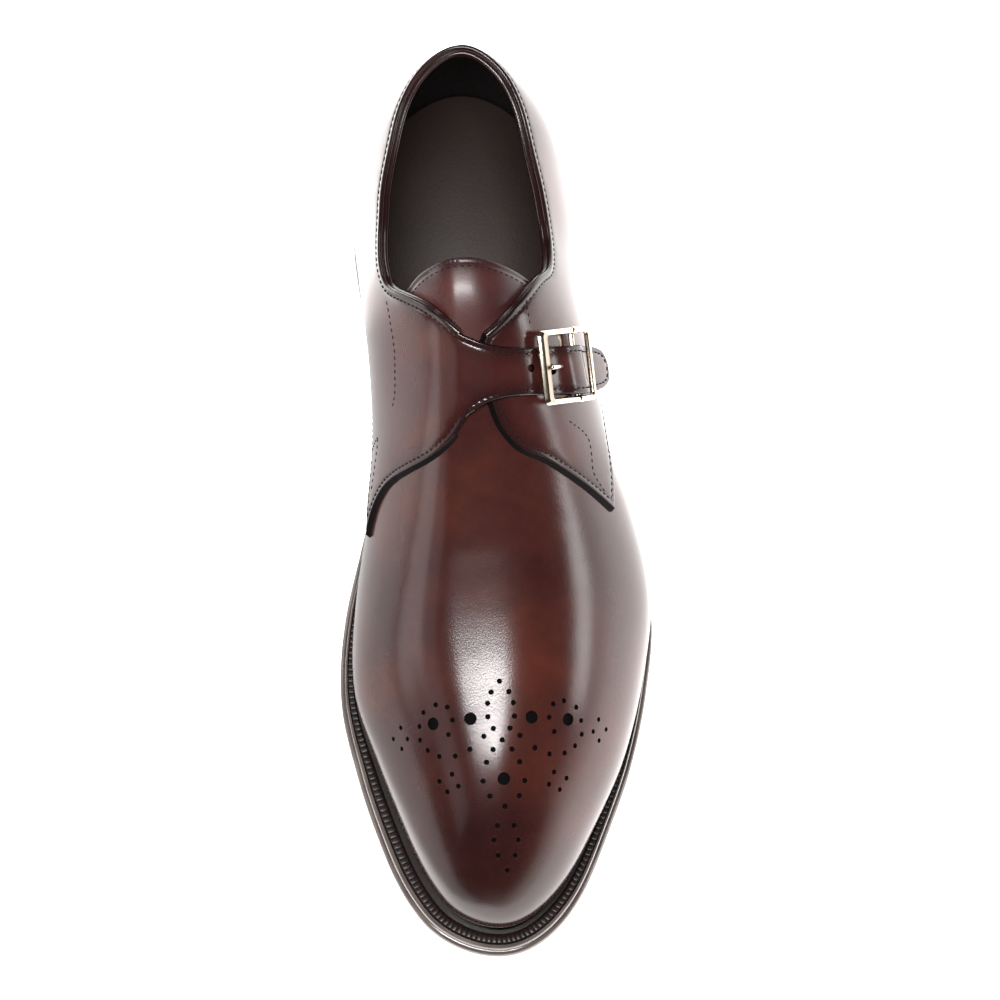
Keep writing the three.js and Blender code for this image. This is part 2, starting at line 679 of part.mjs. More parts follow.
function roundedRectangle(shape, left, right, half, corner) {
  shape.moveTo(left + corner, -half);
  shape.lineTo(right - corner, -half);
  shape.absarc(right - corner, -half + corner, corner, -Math.PI / 2, 0);
  shape.lineTo(right, half - corner);
  shape.absarc(right - corner, half - corner, corner, 0, Math.PI / 2);
  shape.lineTo(left + corner, half);
  shape.absarc(left + corner, half - corner, corner, Math.PI / 2, Math.PI);
  shape.lineTo(left, -half + corner);
  shape.absarc(left + corner, -half + corner, corner, Math.PI, 1.5 * Math.PI);
  return shape;
}

function buckleFrame() {
  const end = BUCKLE_LENGTH / 2;
  const half = BUCKLE_WIDTH / 2;
  const outline = roundedRectangle(new THREE.Shape(), -end, end, half, BUCKLE_CORNER);
  const inner = half - SIDE_BAR_WIDTH;
  const opening = roundedRectangle(
    new THREE.Path(), -end + FRONT_BAR_WIDTH, end - BACK_BAR_WIDTH, inner, BUCKLE_CORNER / 2);
  outline.holes.push(opening);
  const bevel = BUCKLE_THICKNESS / 5;
  const ring = new THREE.ExtrudeGeometry(outline, {
    depth: BUCKLE_THICKNESS - 2 * bevel,
    bevelThickness: bevel,
    bevelSize: bevel,
    bevelOffset: -bevel,
    bevelSegments: 1,
    curveSegments: 4,
  });
  ring.translate(0, 0, FRAME_HEIGHT + bevel);
  const bar = new THREE.CylinderGeometry(
    CENTRE_BAR_DIAMETER / 2, CENTRE_BAR_DIAMETER / 2, 2 * inner + SIDE_BAR_WIDTH, 12);
  bar.translate(CENTRE_BAR_ALONG, 0, CENTRE_BAR_HEIGHT);
  const notch = new THREE.CylinderGeometry(PRONG_DIAMETER, PRONG_DIAMETER, BUCKLE_THICKNESS, 12);
  notch.rotateZ(Math.PI / 2);
  notch.translate(-end + FRONT_BAR_WIDTH, 0, FRAME_HEIGHT + BUCKLE_THICKNESS + PRONG_DIAMETER / 4);
  const body = solid(ring).add(solid(bar)).subtract(solid(notch));
  return body.transform(buckleAxes().elements);
}

// Ends of the prong's way along the buckle
const PRONG_START = CENTRE_BAR_ALONG - CENTRE_BAR_DIAMETER / 2 - CLEARANCE;
const PRONG_WAY = -BUCKLE_LENGTH / 2 + FRONT_BAR_WIDTH - PRONG_START;

// Prong: from the centre bar under the strap, up through its hole, to the notch of the front bar
function prongPath() {
  const low = STRAP_LOW + PRONG_DIAMETER / 2;
  const climb = FRAME_HEIGHT + BUCKLE_THICKNESS - low;
  return new THREE.CatmullRomCurve3(PRONG.map((row) =>
    new THREE.Vector3(PRONG_START + row.along * PRONG_WAY, 0, low + row.up * climb)));
}

function prong() {
  const section = new THREE.Shape().absarc(0, 0, PRONG_DIAMETER / 2, 0, 2 * Math.PI);
  const rod = new THREE.ExtrudeGeometry(section, {
    steps: 10,
    extrudePath: prongPath(),
    curveSegments: 5,
    bevelEnabled: false,
  });
  return solid(rod).transform(buckleAxes().elements);
}

// Hole of the strap that the prong comes up through
function prongHole() {
  const drill = new THREE.CylinderGeometry(
    PRONG_HOLE_DIAMETER / 2, PRONG_HOLE_DIAMETER / 2, BUCKLE_WIDTH, 16);
  drill.rotateX(Math.PI / 2);
  drill.translate(PRONG_START + PRONG_HOLE_ALONG * PRONG_WAY, 0, STRAP_LOW);
  return solid(drill).transform(buckleAxes().elements);
}

function outsole() {
  const top = (at) => undersideAt(at) + OUTSOLE_THICKNESS;
  return capped(layer(STATIONS, [
    { inset: () => EDGE_BEVEL, height: undersideAt },
    { inset: () => 0, height: (at) => undersideAt(at) + 2 * EDGE_BEVEL },
    { inset: () => 0, height: (at) => top(at) - EDGE_BEVEL },
    { inset: () => EDGE_BEVEL, height: top },
  ]));
}

// Welt: a ring under the foot of the upper, all the way round
function welt() {
  const low = (at) => undersideAt(at) + OUTSOLE_THICKNESS + CLEARANCE;
  const high = (at) => undersideAt(at) + OUTSOLE_THICKNESS + WELT_THICKNESS;
  const outer = () => WELT_INSET;
  const inner = (side, at) => featherInset(side, at) + UPPER_WALL;
  return hollow(layer(STATIONS, [
    { inset: inner, height: low },
    { inset: outer, height: low },
    { inset: outer, height: high },
    { inset: inner, height: high },
  ]));
}

// Insole: fills the ring of the welt, inside the walls of the upper
function insole() {
  const edge = (side, at) => featherInset(side, at) + UPPER_WALL + CLEARANCE;
  const low = (at) => undersideAt(at) + OUTSOLE_THICKNESS + CLEARANCE;
  return capped(layer(STATIONS, [
    { inset: edge, height: low },
    { inset: edge, height: (at) => low(at) + INSOLE_THICKNESS },
  ]));
}

// One layer of the heel, tapering a little towards the floor
function heelLayer(low, high) {
  const stations = stationsTo(HEEL_LENGTH / LENGTH);
  const insetAt = (z) => HEEL_INSET + HEEL_TAPER * (1 - z / HEEL_HEIGHT);
  return capped(layer(stations, [
    { inset: () => insetAt(low), height: () => low },
    { inset: () => insetAt(high), height: (at) => Math.min(high, undersideAt(at) - CLEARANCE) },
  ]));
}

function heelPieces() {
  const pieces = [piece("heel_top_piece", heelLayer(0, TOP_PIECE_THICKNESS), rubber)];
  const lift = (HEEL_HEIGHT - TOP_PIECE_THICKNESS) / LIFT_COUNT;
  for (let i = 0; i < LIFT_COUNT; i += 1) {
    const low = TOP_PIECE_THICKNESS + i * lift + CLEARANCE;
    const high = TOP_PIECE_THICKNESS + (i + 1) * lift;
    pieces.push(piece(`heel_lift_${LIFT_COUNT - i}`, heelLayer(low, high), leather(0x2c1a17)));
  }
  return pieces;
}

// The strap and the medial quarter are one piece of leather
const medialBody = quarter("medial", MEDIAL_THROAT.slice(0, -1), MEDIAL_WING)
  .add(strap())
  .subtract(prongHole());

const shoe = new THREE.Group();
shoe.add(
  piece("outsole", outsole(), leather(0x2a1917)),
  piece("welt", welt(), leather(0x1d1212)),
  piece("insole", insole(), leather(0x8a5f3c)),
  ...heelPieces(),
  piece("upper", upper(), leather(0x4a2420)),
  piece("tongue", tongue(), leather(0x552a22)),
  piece("quarter_lateral", quarter("lateral", LATERAL_THROAT, LATERAL_WING), leather(0x5a2a24)),
  piece("quarter_medial", medialBody, leather(0x5e2c24)),
  piece("buckle_frame", buckleFrame(), metal),
  piece("buckle_prong", prong(), metal),
);

// The origin is on the floor, under the middle of the shoe
const box = new THREE.Box3().setFromObject(shoe);
const middle = box.getCenter(new THREE.Vector3());
shoe.position.set(-middle.x, -middle.y, -box.min.z);

export default new THREE.Group().add(shoe);
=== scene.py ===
"""A leather monk strap shoe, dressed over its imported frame. Metres, +Z up, toe towards -Y."""
import math

import bmesh
import bpy
import numpy as np
from mathutils import Matrix, Vector
from mathutils.geometry import delaunay_2d_cdt


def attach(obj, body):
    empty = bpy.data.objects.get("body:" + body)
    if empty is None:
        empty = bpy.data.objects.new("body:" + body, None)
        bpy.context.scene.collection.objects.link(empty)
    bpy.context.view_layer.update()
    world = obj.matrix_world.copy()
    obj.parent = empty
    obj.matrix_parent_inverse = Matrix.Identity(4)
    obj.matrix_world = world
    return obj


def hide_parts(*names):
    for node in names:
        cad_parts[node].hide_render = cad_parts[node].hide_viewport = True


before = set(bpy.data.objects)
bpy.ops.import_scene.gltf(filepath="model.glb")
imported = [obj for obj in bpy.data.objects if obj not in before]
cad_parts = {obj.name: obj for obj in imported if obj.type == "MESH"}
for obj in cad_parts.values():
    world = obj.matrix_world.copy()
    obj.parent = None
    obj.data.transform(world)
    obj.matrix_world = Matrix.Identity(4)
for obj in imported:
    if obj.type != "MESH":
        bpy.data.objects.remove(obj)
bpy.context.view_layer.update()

# Camera
# A long lens looks down on the shoe from 72 degrees, a little to its left, as in the photograph.
# It stands and points as the photograph's camera did, and its frame is shifted to this one shoe.
elevation = math.radians(72)
azimuth = math.radians(-2.5)
stand = Vector((
    math.sin(azimuth) * math.cos(elevation),
    -math.cos(azimuth) * math.cos(elevation),
    math.sin(elevation),
))
eye = Vector((-0.0458, 0.0143, 0)) + stand * 2.0
bpy.ops.object.camera_add(location=eye)
camera = bpy.context.object
camera.data.lens = 212
camera.data.sensor_width = 36
camera.rotation_mode = "QUATERNION"
camera.rotation_quaternion = (-stand).to_track_quat("-Z", "Y")
camera.data.shift_x = 0.147
camera.data.shift_y = -0.004
camera.data.clip_end = 20
bpy.context.scene.camera = camera


# Studio
# A white table lit from below, in a dim room with glowing white paper round it: the polished sides of
# the shoe mirror the paper and the table, its top mirrors the dark and four soft lamps.
def linear(code):
    """Turns an sRGB hex colour into the linear numbers that the shaders take."""
    parts = [int(code[i:i + 2], 16) / 255 for i in (1, 3, 5)]
    return tuple(p / 12.92 if p <= 0.04045 else ((p + 0.055) / 1.055) ** 2.4 for p in parts) + (1,)


def add(tree, kind, links=None, **settings):
    """Adds a node. Settings go on the node or its inputs, links are sockets for its inputs."""
    made = tree.nodes.new("ShaderNode" + kind)
    for key, value in settings.items():
        if hasattr(made, key):
            setattr(made, key, value)
        else:
            made.inputs[key.replace("_", " ")].default_value = value
    for key, socket in (links or {}).items():
        tree.links.new(socket, made.inputs[key])
    return made


def new_material(name):
    made = bpy.data.materials.new(name)
    made.use_nodes = True
    tree = made.node_tree
    return made, tree, tree.nodes["Principled BSDF"]


bpy.ops.mesh.primitive_plane_add(size=6, location=(0, 0, -0.0005))
floor = bpy.context.object
floor.name = "table"
floor.visible_glossy = False
table_paper, tree, shader = new_material("white_table_paper")
shader.inputs["Base Color"].default_value = linear("#f4f3f2")
shader.inputs["Roughness"].default_value = 0.9
shader.inputs["Emission Color"].default_value = linear("#fffdfb")
# The table's glow is painted light: weaker on the left and stronger on the right.
place = add(tree, "SeparateXYZ", {"Vector": add(tree, "TexCoord").outputs["Object"]}).outputs["X"]
glow = add(tree, "MapRange", {"Value": place}, From_Min=-0.1, From_Max=0.1, To_Min=0.65, To_Max=1.9)
tree.links.new(glow.outputs[0], shader.inputs["Emission Strength"])
floor.data.materials.append(table_paper)

# The leather mirrors this sheet of paper, not the table. The paper glows though it is no lamp: its
# painted light has soft edges, dark beside the medial side of the forefoot, bright on the lateral
# side, brightest at the heel.
bpy.ops.mesh.primitive_plane_add(size=3, location=(0, 0, 0))
paper = bpy.context.object
paper.name = "glowing_paper"
paper.visible_camera = False
glowing_paper, tree, shader = new_material("painted_light_paper")
place = add(tree, "TexCoord").outputs["Object"]
beside = add(tree, "VectorMath", {0: place}, operation="DOT_PRODUCT")
beside.inputs[1].default_value = (1, -0.24, 0)
right_lit = add(
    tree, "MapRange", {"Value": beside.outputs["Value"]}, From_Min=-0.044, From_Max=-0.024, To_Min=0.05, To_Max=2.0)
parts = add(tree, "SeparateXYZ", {"Vector": place}).outputs
backward = add(tree, "MapRange", {"Value": parts["Y"]}, From_Min=0.07, From_Max=0.11, To_Min=0.0, To_Max=4.0)
near = add(tree, "MapRange", {"Value": parts["X"]}, From_Min=-0.26, From_Max=-0.18, To_Min=0.0, To_Max=1.0)
beyond_shoe = add(tree, "Math", {0: parts["X"]}, operation="LESS_THAN")
beyond_shoe.inputs[1].default_value = 0.0
near_left = add(tree, "Math", {0: near.outputs[0], 1: beyond_shoe.outputs[0]}, operation="MULTIPLY")
heel_lit = add(tree, "Math", {0: backward.outputs[0], 1: near_left.outputs[0]}, operation="MULTIPLY")
glow = add(tree, "Math", {0: right_lit.outputs[0], 1: heel_lit.outputs[0]}, operation="MAXIMUM")
tree.links.new(glow.outputs[0], shader.inputs["Emission Strength"])
shader.inputs["Base Color"].default_value = linear("#f4f3f2")
shader.inputs["Roughness"].default_value = 0.9
shader.inputs["Emission Color"].default_value = linear("#fffdfb")
paper.data.materials.append(glowing_paper)

surround = bpy.data.worlds.new("surround")
surround.use_nodes = True
tree = surround.node_tree
direction = add(tree, "TexCoord").outputs["Generated"]
parts = add(tree, "SeparateXYZ", {"Vector": direction}).outputs
fade = add(tree, "MapRange", {"Value": parts["Z"]}, From_Min=0.03, From_Max=0.3, To_Min=1.0, To_Max=0.0)
sides = add(tree, "MapRange", {"Value": parts["X"]}, From_Min=-0.5, From_Max=0.5, To_Min=0.08, To_Max=2.0)
walls = add(tree, "Math", {0: fade.outputs[0], 1: sides.outputs[0]}, operation="MULTIPLY")
glow = add(tree, "Math", {0: walls.outputs[0]}, operation="ADD")
glow.inputs[1].default_value = 0.035
tree.nodes["Background"].inputs["Color"].default_value = linear("#fffaf7")
tree.links.new(glow.outputs[0], tree.nodes["Background"].inputs["Strength"])
bpy.context.scene.world = surround
bpy.context.scene.view_settings.view_transform = "Standard"

# place, what it points at, width and height, and power of each lamp: a long one over the toe,
# one to the right, one to the left, one close to the medial side, one by the heel, one behind
for spot, goal, size, power in (
    ((-0.20, -0.19, 1.40), (-0.2, 0, 0), (1.0, 0.16), 22),
    ((1.27, -0.12, 0.42), (0, 0, 0.05), (0.22, 0.25), 1.2),
    ((-1.15, -0.35, 0.75), (0, 0, 0.05), (0.6, 0.5), 0.6),
    ((-0.284, -0.054, 0.112), (0, 0, 0.05), (0.10, 0.12), 0.07),
    ((-0.50, 0.22, 0.14), (0, 0.12, 0.05), (0.2, 0.2), 0.4),
    ((-0.25, 1.1, 1.0), (0, 0, 0.05), (0.3, 0.3), 1.5),
):
    bpy.ops.object.light_add(type="AREA", location=spot)
    lamp = bpy.context.object
    lamp.data.shape = "RECTANGLE"
    lamp.data.size, lamp.data.size_y = size
    lamp.data.energy = power
    lamp.rotation_mode = "QUATERNION"
    lamp.rotation_quaternion = (Vector(goal) - Vector(spot)).to_track_quat("-Z", "Y")

# Outsole
# One thickness of oak-bark sole leather from heel to toe, cut to the outline, its edge
# trimmed, stained near black and waxed to a gloss, its tread left smooth.
LENGTH = 0.302


def through(rows, column, at):
    """A smooth curve through one column of a table whose first column is the station."""
    table = np.array(rows, float)
    places, values = table[:, 0], table[:, column]
    run = np.diff(places)
    secant = np.diff(values) / run
    slope = np.empty_like(values)
    slope[0], slope[-1] = secant[0], secant[-1]
    slope[1:-1] = (secant[1:] * run[:-1] + secant[:-1] * run[1:]) / (run[:-1] + run[1:])
    at = np.asarray(at, float)
    low = np.clip(np.searchsorted(places, at) - 1, 0, len(run) - 1)
    share = np.clip((at - places[low]) / run[low], 0, 1)
    back = 1 - share
    start = values[low] * (1 + 2 * share) * back ** 2
    end = values[low + 1] * (3 - 2 * share) * share ** 2
    bend = run[low] * share * back * (slope[low] * back - slope[low + 1] * share)
    return start + end + bend


# station from heel to toe, then the half widths on the medial and the lateral side, mm
SOLE_EDGE = (
    (0.03, 22.0, 21.0),
    (0.08, 33.0, 31.4),
    (0.13, 37.0, 35.2),
    (0.19, 38.5, 36.4),
    (0.27, 36.0, 34.8),
    (0.36, 31.5, 36.8),
    (0.44, 33.2, 43.0),
    (0.52, 40.0, 51.0),
    (0.60, 46.5, 56.5),
    (0.70, 49.2, 53.3),
    (0.79, 44.6, 46.2),
    (0.88, 37.0, 35.3),
    (0.94, 29.0, 26.2),
    (0.98, 18.3, 15.6),
)


def station_of(y):
    return 0.5 - y / LENGTH


def edge_point(turn):
    """Points of the sole's outline. Turn is 0 at the heel and plus or minus pi at the toe."""
    at = (1 - np.cos(turn)) / 2
    ends = [(0,) + SOLE_EDGE[0][1:]] + list(SOLE_EDGE) + [(1,) + SOLE_EDGE[-1][1:]]
    round_end = [2 * math.sqrt(min(max(row[0], 0.03), 0.98) * (1 - min(max(row[0], 0.03), 0.98)))
                 for row in ends]
    rows = [(row[0], row[1] / end, row[2] / end) for row, end in zip(ends, round_end)]
    side = np.where(np.sin(turn) < 0, -1, 1)
    share = np.where(side < 0, through(rows, 1, at), through(rows, 2, at))
    wide = share * 2 * np.sqrt(np.clip(at * (1 - at), 0, None)) * side / 1000
    return np.stack([wide - 0.00375, (0.5 - at) * LENGTH], -1)


def inset_point(turn, inset):
    """Points of the outline, moved inwards by an inset in metres."""
    step = 0.001
    along = edge_point(turn + step) - edge_point(turn - step)
    along /= np.linalg.norm(along, axis=-1, keepdims=True)
    inward = np.stack([along[..., 1], -along[..., 0]], -1)
    return edge_point(turn) - inward * -np.asarray(inset)[..., None]


def underside(at):
    """Height of the outsole's underside: seat, arch, flat tread and toe spring."""
    at = np.asarray(at, float)
    share = np.clip((at - 0.1) / 0.5, 0, 1) ** 1.3
    arch = 0.025 * (1 - share * share * (3 - 2 * share))
    spring = 0.009 * np.clip((at - 0.66) / 0.34, 0, 1) ** 1.7
    return np.where(at < 0.6, arch, spring)


def ring_body(name, turns, rings, material, capped=True):
    """A layer of the sole, closed round rings that each give an inset and a height."""
    loops = []
    for inset, height in rings:
        place = inset_point(turns, inset(turns) if callable(inset) else np.full(turns.shape, inset))
        loops.append(np.column_stack([place, height(station_of(place[:, 1]), turns)]))
    count = len(turns)
    shape = bmesh.new()
    made = [[shape.verts.new(point) for point in loop] for loop in loops]
    bands = len(loops) if not capped else len(loops) - 1
    for band in range(bands):
        low, high = made[band], made[(band + 1) % len(loops)]
        for i in range(count):
            j = (i + 1) % count
            shape.faces.new((low[i], low[j], high[j], high[i]))
    if capped:
        for loop, flip in ((made[0], True), (made[-1], False)):
            for i in range(count // 2):
                corners = [loop[i], loop[i + 1], loop[count - 1 - i - 1], loop[count - 1 - i]]
                corners = list(dict.fromkeys(corners))
                if len(corners) > 2:
                    shape.faces.new(corners[::-1] if flip else corners)
    bmesh.ops.recalc_face_normals(shape, faces=shape.faces)
    mesh = bpy.data.meshes.new(name)
    shape.to_mesh(mesh)
    shape.free()
    piece = bpy.data.objects.new(name, mesh)
    bpy.context.collection.objects.link(piece)
    mesh.materials.append(material)
    smooth(piece, 40)
    return piece


def smooth(piece, degrees):
    bpy.ops.object.select_all(action="DESELECT")
    piece.select_set(True)
    bpy.context.view_layer.objects.active = piece
    bpy.ops.object.shade_smooth_by_angle(angle=math.radians(degrees))


def leather_grain(tree, size, depth):
    """Bump of leather: shallow cells of the grain and a slow unevenness under them."""
    place = add(tree, "TexCoord").outputs["Object"]
    cells = add(tree, "TexVoronoi", {"Vector": place}, feature="SMOOTH_F1", Scale=1 / size, Smoothness=0.6)
    uneven = add(tree, "TexNoise", {"Vector": place}, Scale=0.12 / size, Detail=3.0)
    both = add(tree, "Math", {0: cells.outputs["Distance"]}, operation="MULTIPLY")
    both.inputs[1].default_value = 0.5
    total = add(tree, "Math", {0: both.outputs[0], 1: uneven.outputs["Fac"]}, operation="ADD")
    return add(tree, "Bump", {"Height": total.outputs[0]}, Strength=0.45, Distance=depth).outputs[0]


# Sole edge: stained, waxed and burnished leather, nearly black, with a deep gloss and faint
# lengthwise brushing. Its colour here is a paler grey taupe, partly a painted reflection of the white table.
edge_finish_and_reflection, tree, shader = new_material("waxed_sole_edge_painted_reflection")
place = add(tree, "TexCoord").outputs["Object"]
stretch = add(tree, "Mapping", {"Vector": place})
stretch.inputs["Scale"].default_value = (60, 60, 900)
streaks = add(tree, "TexNoise", {"Vector": stretch.outputs[0]}, Scale=1.0, Detail=4.0)
# grey taupe, paler than the near black stain: partly a painted reflection of the white table
tint = add(tree, "ValToRGB", {"Fac": streaks.outputs["Fac"]})
tint.color_ramp.elements[0].color = linear("#4f4440")
tint.color_ramp.elements[1].color = linear("#796c66")
tint.color_ramp.elements[0].position = 0.3
tint.color_ramp.elements[1].position = 0.8
tree.links.new(tint.outputs["Color"], shader.inputs["Base Color"])
relief = add(tree, "Bump", {"Height": streaks.outputs["Fac"]}, Strength=0.25, Distance=0.00008)
tree.links.new(relief.outputs[0], shader.inputs["Normal"])
shader.inputs["Roughness"].default_value = 0.24
shader.inputs["Coat Weight"].default_value = 1.0
shader.inputs["Coat Roughness"].default_value = 0.12

round_turns = np.linspace(-math.pi, math.pi, 721)[:-1] + math.pi / 720
# the outsole's edge takes this finish with its painted reflection
outsole = ring_body(
    "outsole_leather", round_turns,
    (
        (0.0022, lambda at, turns: underside(at)),
        (0.0010, lambda at, turns: underside(at) + 0.0002),
        (0.0003, lambda at, turns: underside(at) + 0.0008),
        (0.0, lambda at, turns: underside(at) + 0.0018),
        (0.0, lambda at, turns: underside(at) + 0.0032),
        (0.0003, lambda at, turns: underside(at) + 0.0042),
        (0.0009, lambda at, turns: underside(at) + 0.0048),
        (0.0019, lambda at, turns: underside(at) + 0.0050),
    ),
    edge_finish_and_reflection)
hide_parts("outsole")
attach(outsole, "root")


# Stacked heel
# Three leather lifts and a rubber top piece, glued and pegged, trimmed together to a slight
# taper and finished with the same dark wax as the sole's edge. Fine glue lines part them.
rubber_finish, tree, shader = new_material("moulded_rubber_top_piece")
place = add(tree, "TexCoord").outputs["Object"]
specks = add(tree, "TexNoise", {"Vector": place}, Scale=900.0, Detail=2.0)
relief = add(tree, "Bump", {"Height": specks.outputs["Fac"]}, Strength=0.3, Distance=0.0001)
tree.links.new(relief.outputs[0], shader.inputs["Normal"])
shader.inputs["Base Color"].default_value = linear("#17120f")
shader.inputs["Roughness"].default_value = 0.6

HEEL_END = 78 / 302
heel_turn = math.acos(1 - 2 * HEEL_END)
heel_turns = np.linspace(-heel_turn, heel_turn, 240)


def heel_layer(name, low, high, material):
    """One layer of the heel, with softly broken edges."""
    def taper(height):
        return 0.0012 + 0.0016 * (1 - height / 0.025)

    def level(height):
        return lambda at, turns: np.minimum(height, underside(at) - 0.0003)

    rim = 0.00025
    return ring_body(
        name, heel_turns,
        (
            (taper(low) + rim, level(low)),
            (taper(low), level(low + rim)),
            (taper(high), level(high - rim)),
            (taper(high) + rim, level(high)),
        ),
        material)


lift = 0.019 / 3
# the lifts take the sole edge's finish with its painted reflection; the top piece is rubber
for node, low, high, finish, slot in (
    ("heel_top_piece", 0.0, 0.006, rubber_finish, "top_piece_rubber"),
    ("heel_lift_3", 0.0062, 0.006 + lift, edge_finish_and_reflection, "sole_leather"),
    ("heel_lift_2", 0.0062 + lift, 0.006 + 2 * lift, edge_finish_and_reflection, "sole_leather"),
    ("heel_lift_1", 0.0062 + 2 * lift, 0.025, edge_finish_and_reflection, "sole_leather"),
):
    layer = heel_layer(node + "_trimmed", low, high, finish)
    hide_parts(node)
    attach(layer, "root")

# Welt
# A strip of welt leather sewn round the foot of the upper, its top blackened and wheeled: a
# hot toothed wheel pressed fine ribs across it, between two plain lines.
# station, then how far the upper's foot lies inside the sole's edge, medial and lateral, mm
FOOT_INSET = (
    (0.0, 4.4, 4.4),
    (0.10, 4.22, 4.22),
    (0.25, 4.22, 4.22),
    (0.42, 4.49, 4.84),
    (0.58, 5.02, 5.02),
    (0.70, 5.98, 4.58),
    (0.80, 8.27, 4.84),
    (0.90, 8.98, 6.60),
    (1.0, 8.80, 8.80),
)


def foot_inset(turns):
    at = (1 - np.cos(turns)) / 2
    side = np.sin(turns) < 0
    return np.where(side, through(FOOT_INSET, 1, at), through(FOOT_INSET, 2, at)) / 1000


welt_finish, tree, shader = new_material("blackened_welt_leather")
place = add(tree, "TexCoord").outputs["Object"]
mottle = add(tree, "TexNoise", {"Vector": place}, Scale=300.0, Detail=4.0)
tint = add(tree, "ValToRGB", {"Fac": mottle.outputs["Fac"]})
tint.color_ramp.elements[0].color = linear("#0d0808")
tint.color_ramp.elements[1].color = linear("#2a1b17")
tree.links.new(tint.outputs["Color"], shader.inputs["Base Color"])
tree.links.new(leather_grain(tree, 0.0006, 0.0001), shader.inputs["Normal"])
shader.inputs["Roughness"].default_value = 0.38

edge_ink, tree, shader = new_material("inked_cut_edge")
place = add(tree, "TexCoord").outputs["Object"]
fibres = add(tree, "TexNoise", {"Vector": place}, Scale=1500.0, Detail=2.0)
relief = add(tree, "Bump", {"Height": fibres.outputs["Fac"]}, Strength=0.4, Distance=0.0001)
tree.links.new(relief.outputs[0], shader.inputs["Normal"])
shader.inputs["Base Color"].default_value = linear("#080404")
shader.inputs["Roughness"].default_value = 0.6
shader.inputs["Specular IOR Level"].default_value = 0.12

# The ribs are 2 mm apart, so the welt is drawn with six faces to a rib.
RIB = 0.002
coarse = np.linspace(-math.pi, math.pi, 4001)
walked = np.concatenate([[0], np.cumsum(np.linalg.norm(np.diff(edge_point(coarse), axis=0), axis=1))])
rib_count = int(walked[-1] / RIB)
welt_turns = np.interp(np.arange(rib_count * 6) / (rib_count * 6) * walked[-1], walked, coarse)
welt_turns = welt_turns + (coarse[1] - coarse[0]) / 7


def ribs(turns):
    """Height of the ribs round the welt: none at the seat, full from the waist to the toe."""
    at = (1 - np.cos(turns)) / 2
    wave = np.tile([0.0, 0.8, 1.0, 1.0, 1.0, 0.8], rib_count)
    return 0.0003 * wave * np.clip((at - 0.27) / 0.06, 0, 1)


def welt_row(share, low, ribbed):
    """A row of the welt's top, at a share of the way from its edge to the upper's foot."""
    return (
        lambda turns: 0.0017 + share * (foot_inset(turns) - 0.0017),
        lambda at, turns: underside(at) + low + (ribs(turns) if ribbed else 0),
    )


welt = ring_body(
    "wheeled_welt", welt_turns,
    (
        (lambda turns: foot_inset(turns) + 0.0016, lambda at, turns: underside(at) + 0.0053),
        welt_row(0.0, 0.0053, False),
        welt_row(-0.03, 0.0062, False),
        welt_row(0.0, 0.0074, False),
        welt_row(0.04, 0.0077, False),
        welt_row(0.17, 0.0078, False),
        welt_row(0.2, 0.0073, False),
        welt_row(0.22, 0.0073, False),
        welt_row(0.25, 0.0074, True),
        welt_row(0.3, 0.0076, True),
        welt_row(0.62, 0.0076, True),
        welt_row(0.68, 0.0073, True),
        welt_row(0.7, 0.0071, False),
        welt_row(0.74, 0.0071, False),
        (lambda turns: foot_inset(turns) + 0.0016, lambda at, turns: underside(at) + 0.0076),
    ),
    welt_finish, capped=False)
# the welt's outer side and plain margin are finished with the sole's edge; its groove and the
# plain strip inside the ribs are inked black, partly a painted shade of the crease under the upper's foot
# that finish carries the sole edge's painted reflection
welt.data.materials.append(edge_finish_and_reflection)
welt.data.materials.append(edge_ink)
for face in welt.data.polygons:
    band = face.index // len(welt_turns)
    face.material_index = 1 if 1 <= band < 5 else 2 if band in (5, 6, 11, 12) else 0
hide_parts("welt")
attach(welt, "root")

# Insole
# The insole board and its cork show only as the bed under the sock: a thin lining of dark
# calf, glued down over the whole foot bed, plain and unmarked.
sock_finish, tree, shader = new_material("dark_calf_sock_lining")
place = add(tree, "TexCoord").outputs["Object"]
mottle = add(tree, "TexNoise", {"Vector": place}, Scale=45.0, Detail=4.0)
tint = add(tree, "ValToRGB", {"Fac": mottle.outputs["Fac"]})
tint.color_ramp.elements[0].color = linear("#1c1210")
tint.color_ramp.elements[1].color = linear("#33211b")
tree.links.new(tint.outputs["Color"], shader.inputs["Base Color"])
tree.links.new(leather_grain(tree, 0.0009, 0.0002), shader.inputs["Normal"])
shader.inputs["Roughness"].default_value = 0.6

sock = ring_body(
    "sock_lining", round_turns,
    (
        (lambda turns: foot_inset(turns) + 0.0021, lambda at, turns: underside(at) + 0.0091),
        (lambda turns: foot_inset(turns) + 0.0019, lambda at, turns: underside(at) + 0.0094),
        (lambda turns: foot_inset(turns) + 0.0024, lambda at, turns: underside(at) + 0.0098),
    ),
    sock_finish)
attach(sock, "root")

bed_finish, tree, shader = new_material("insole_board")
place = add(tree, "TexCoord").outputs["Object"]
mottle = add(tree, "TexNoise", {"Vector": place}, Scale=120.0, Detail=3.0)
tint = add(tree, "ValToRGB", {"Fac": mottle.outputs["Fac"]})
tint.color_ramp.elements[0].color = linear("#6b4a33")
tint.color_ramp.elements[1].color = linear("#8a6547")
tree.links.new(tint.outputs["Color"], shader.inputs["Base Color"])
shader.inputs["Roughness"].default_value = 0.7
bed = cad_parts["insole"]
bed.data.materials.clear()
bed.data.materials.append(bed_finish)

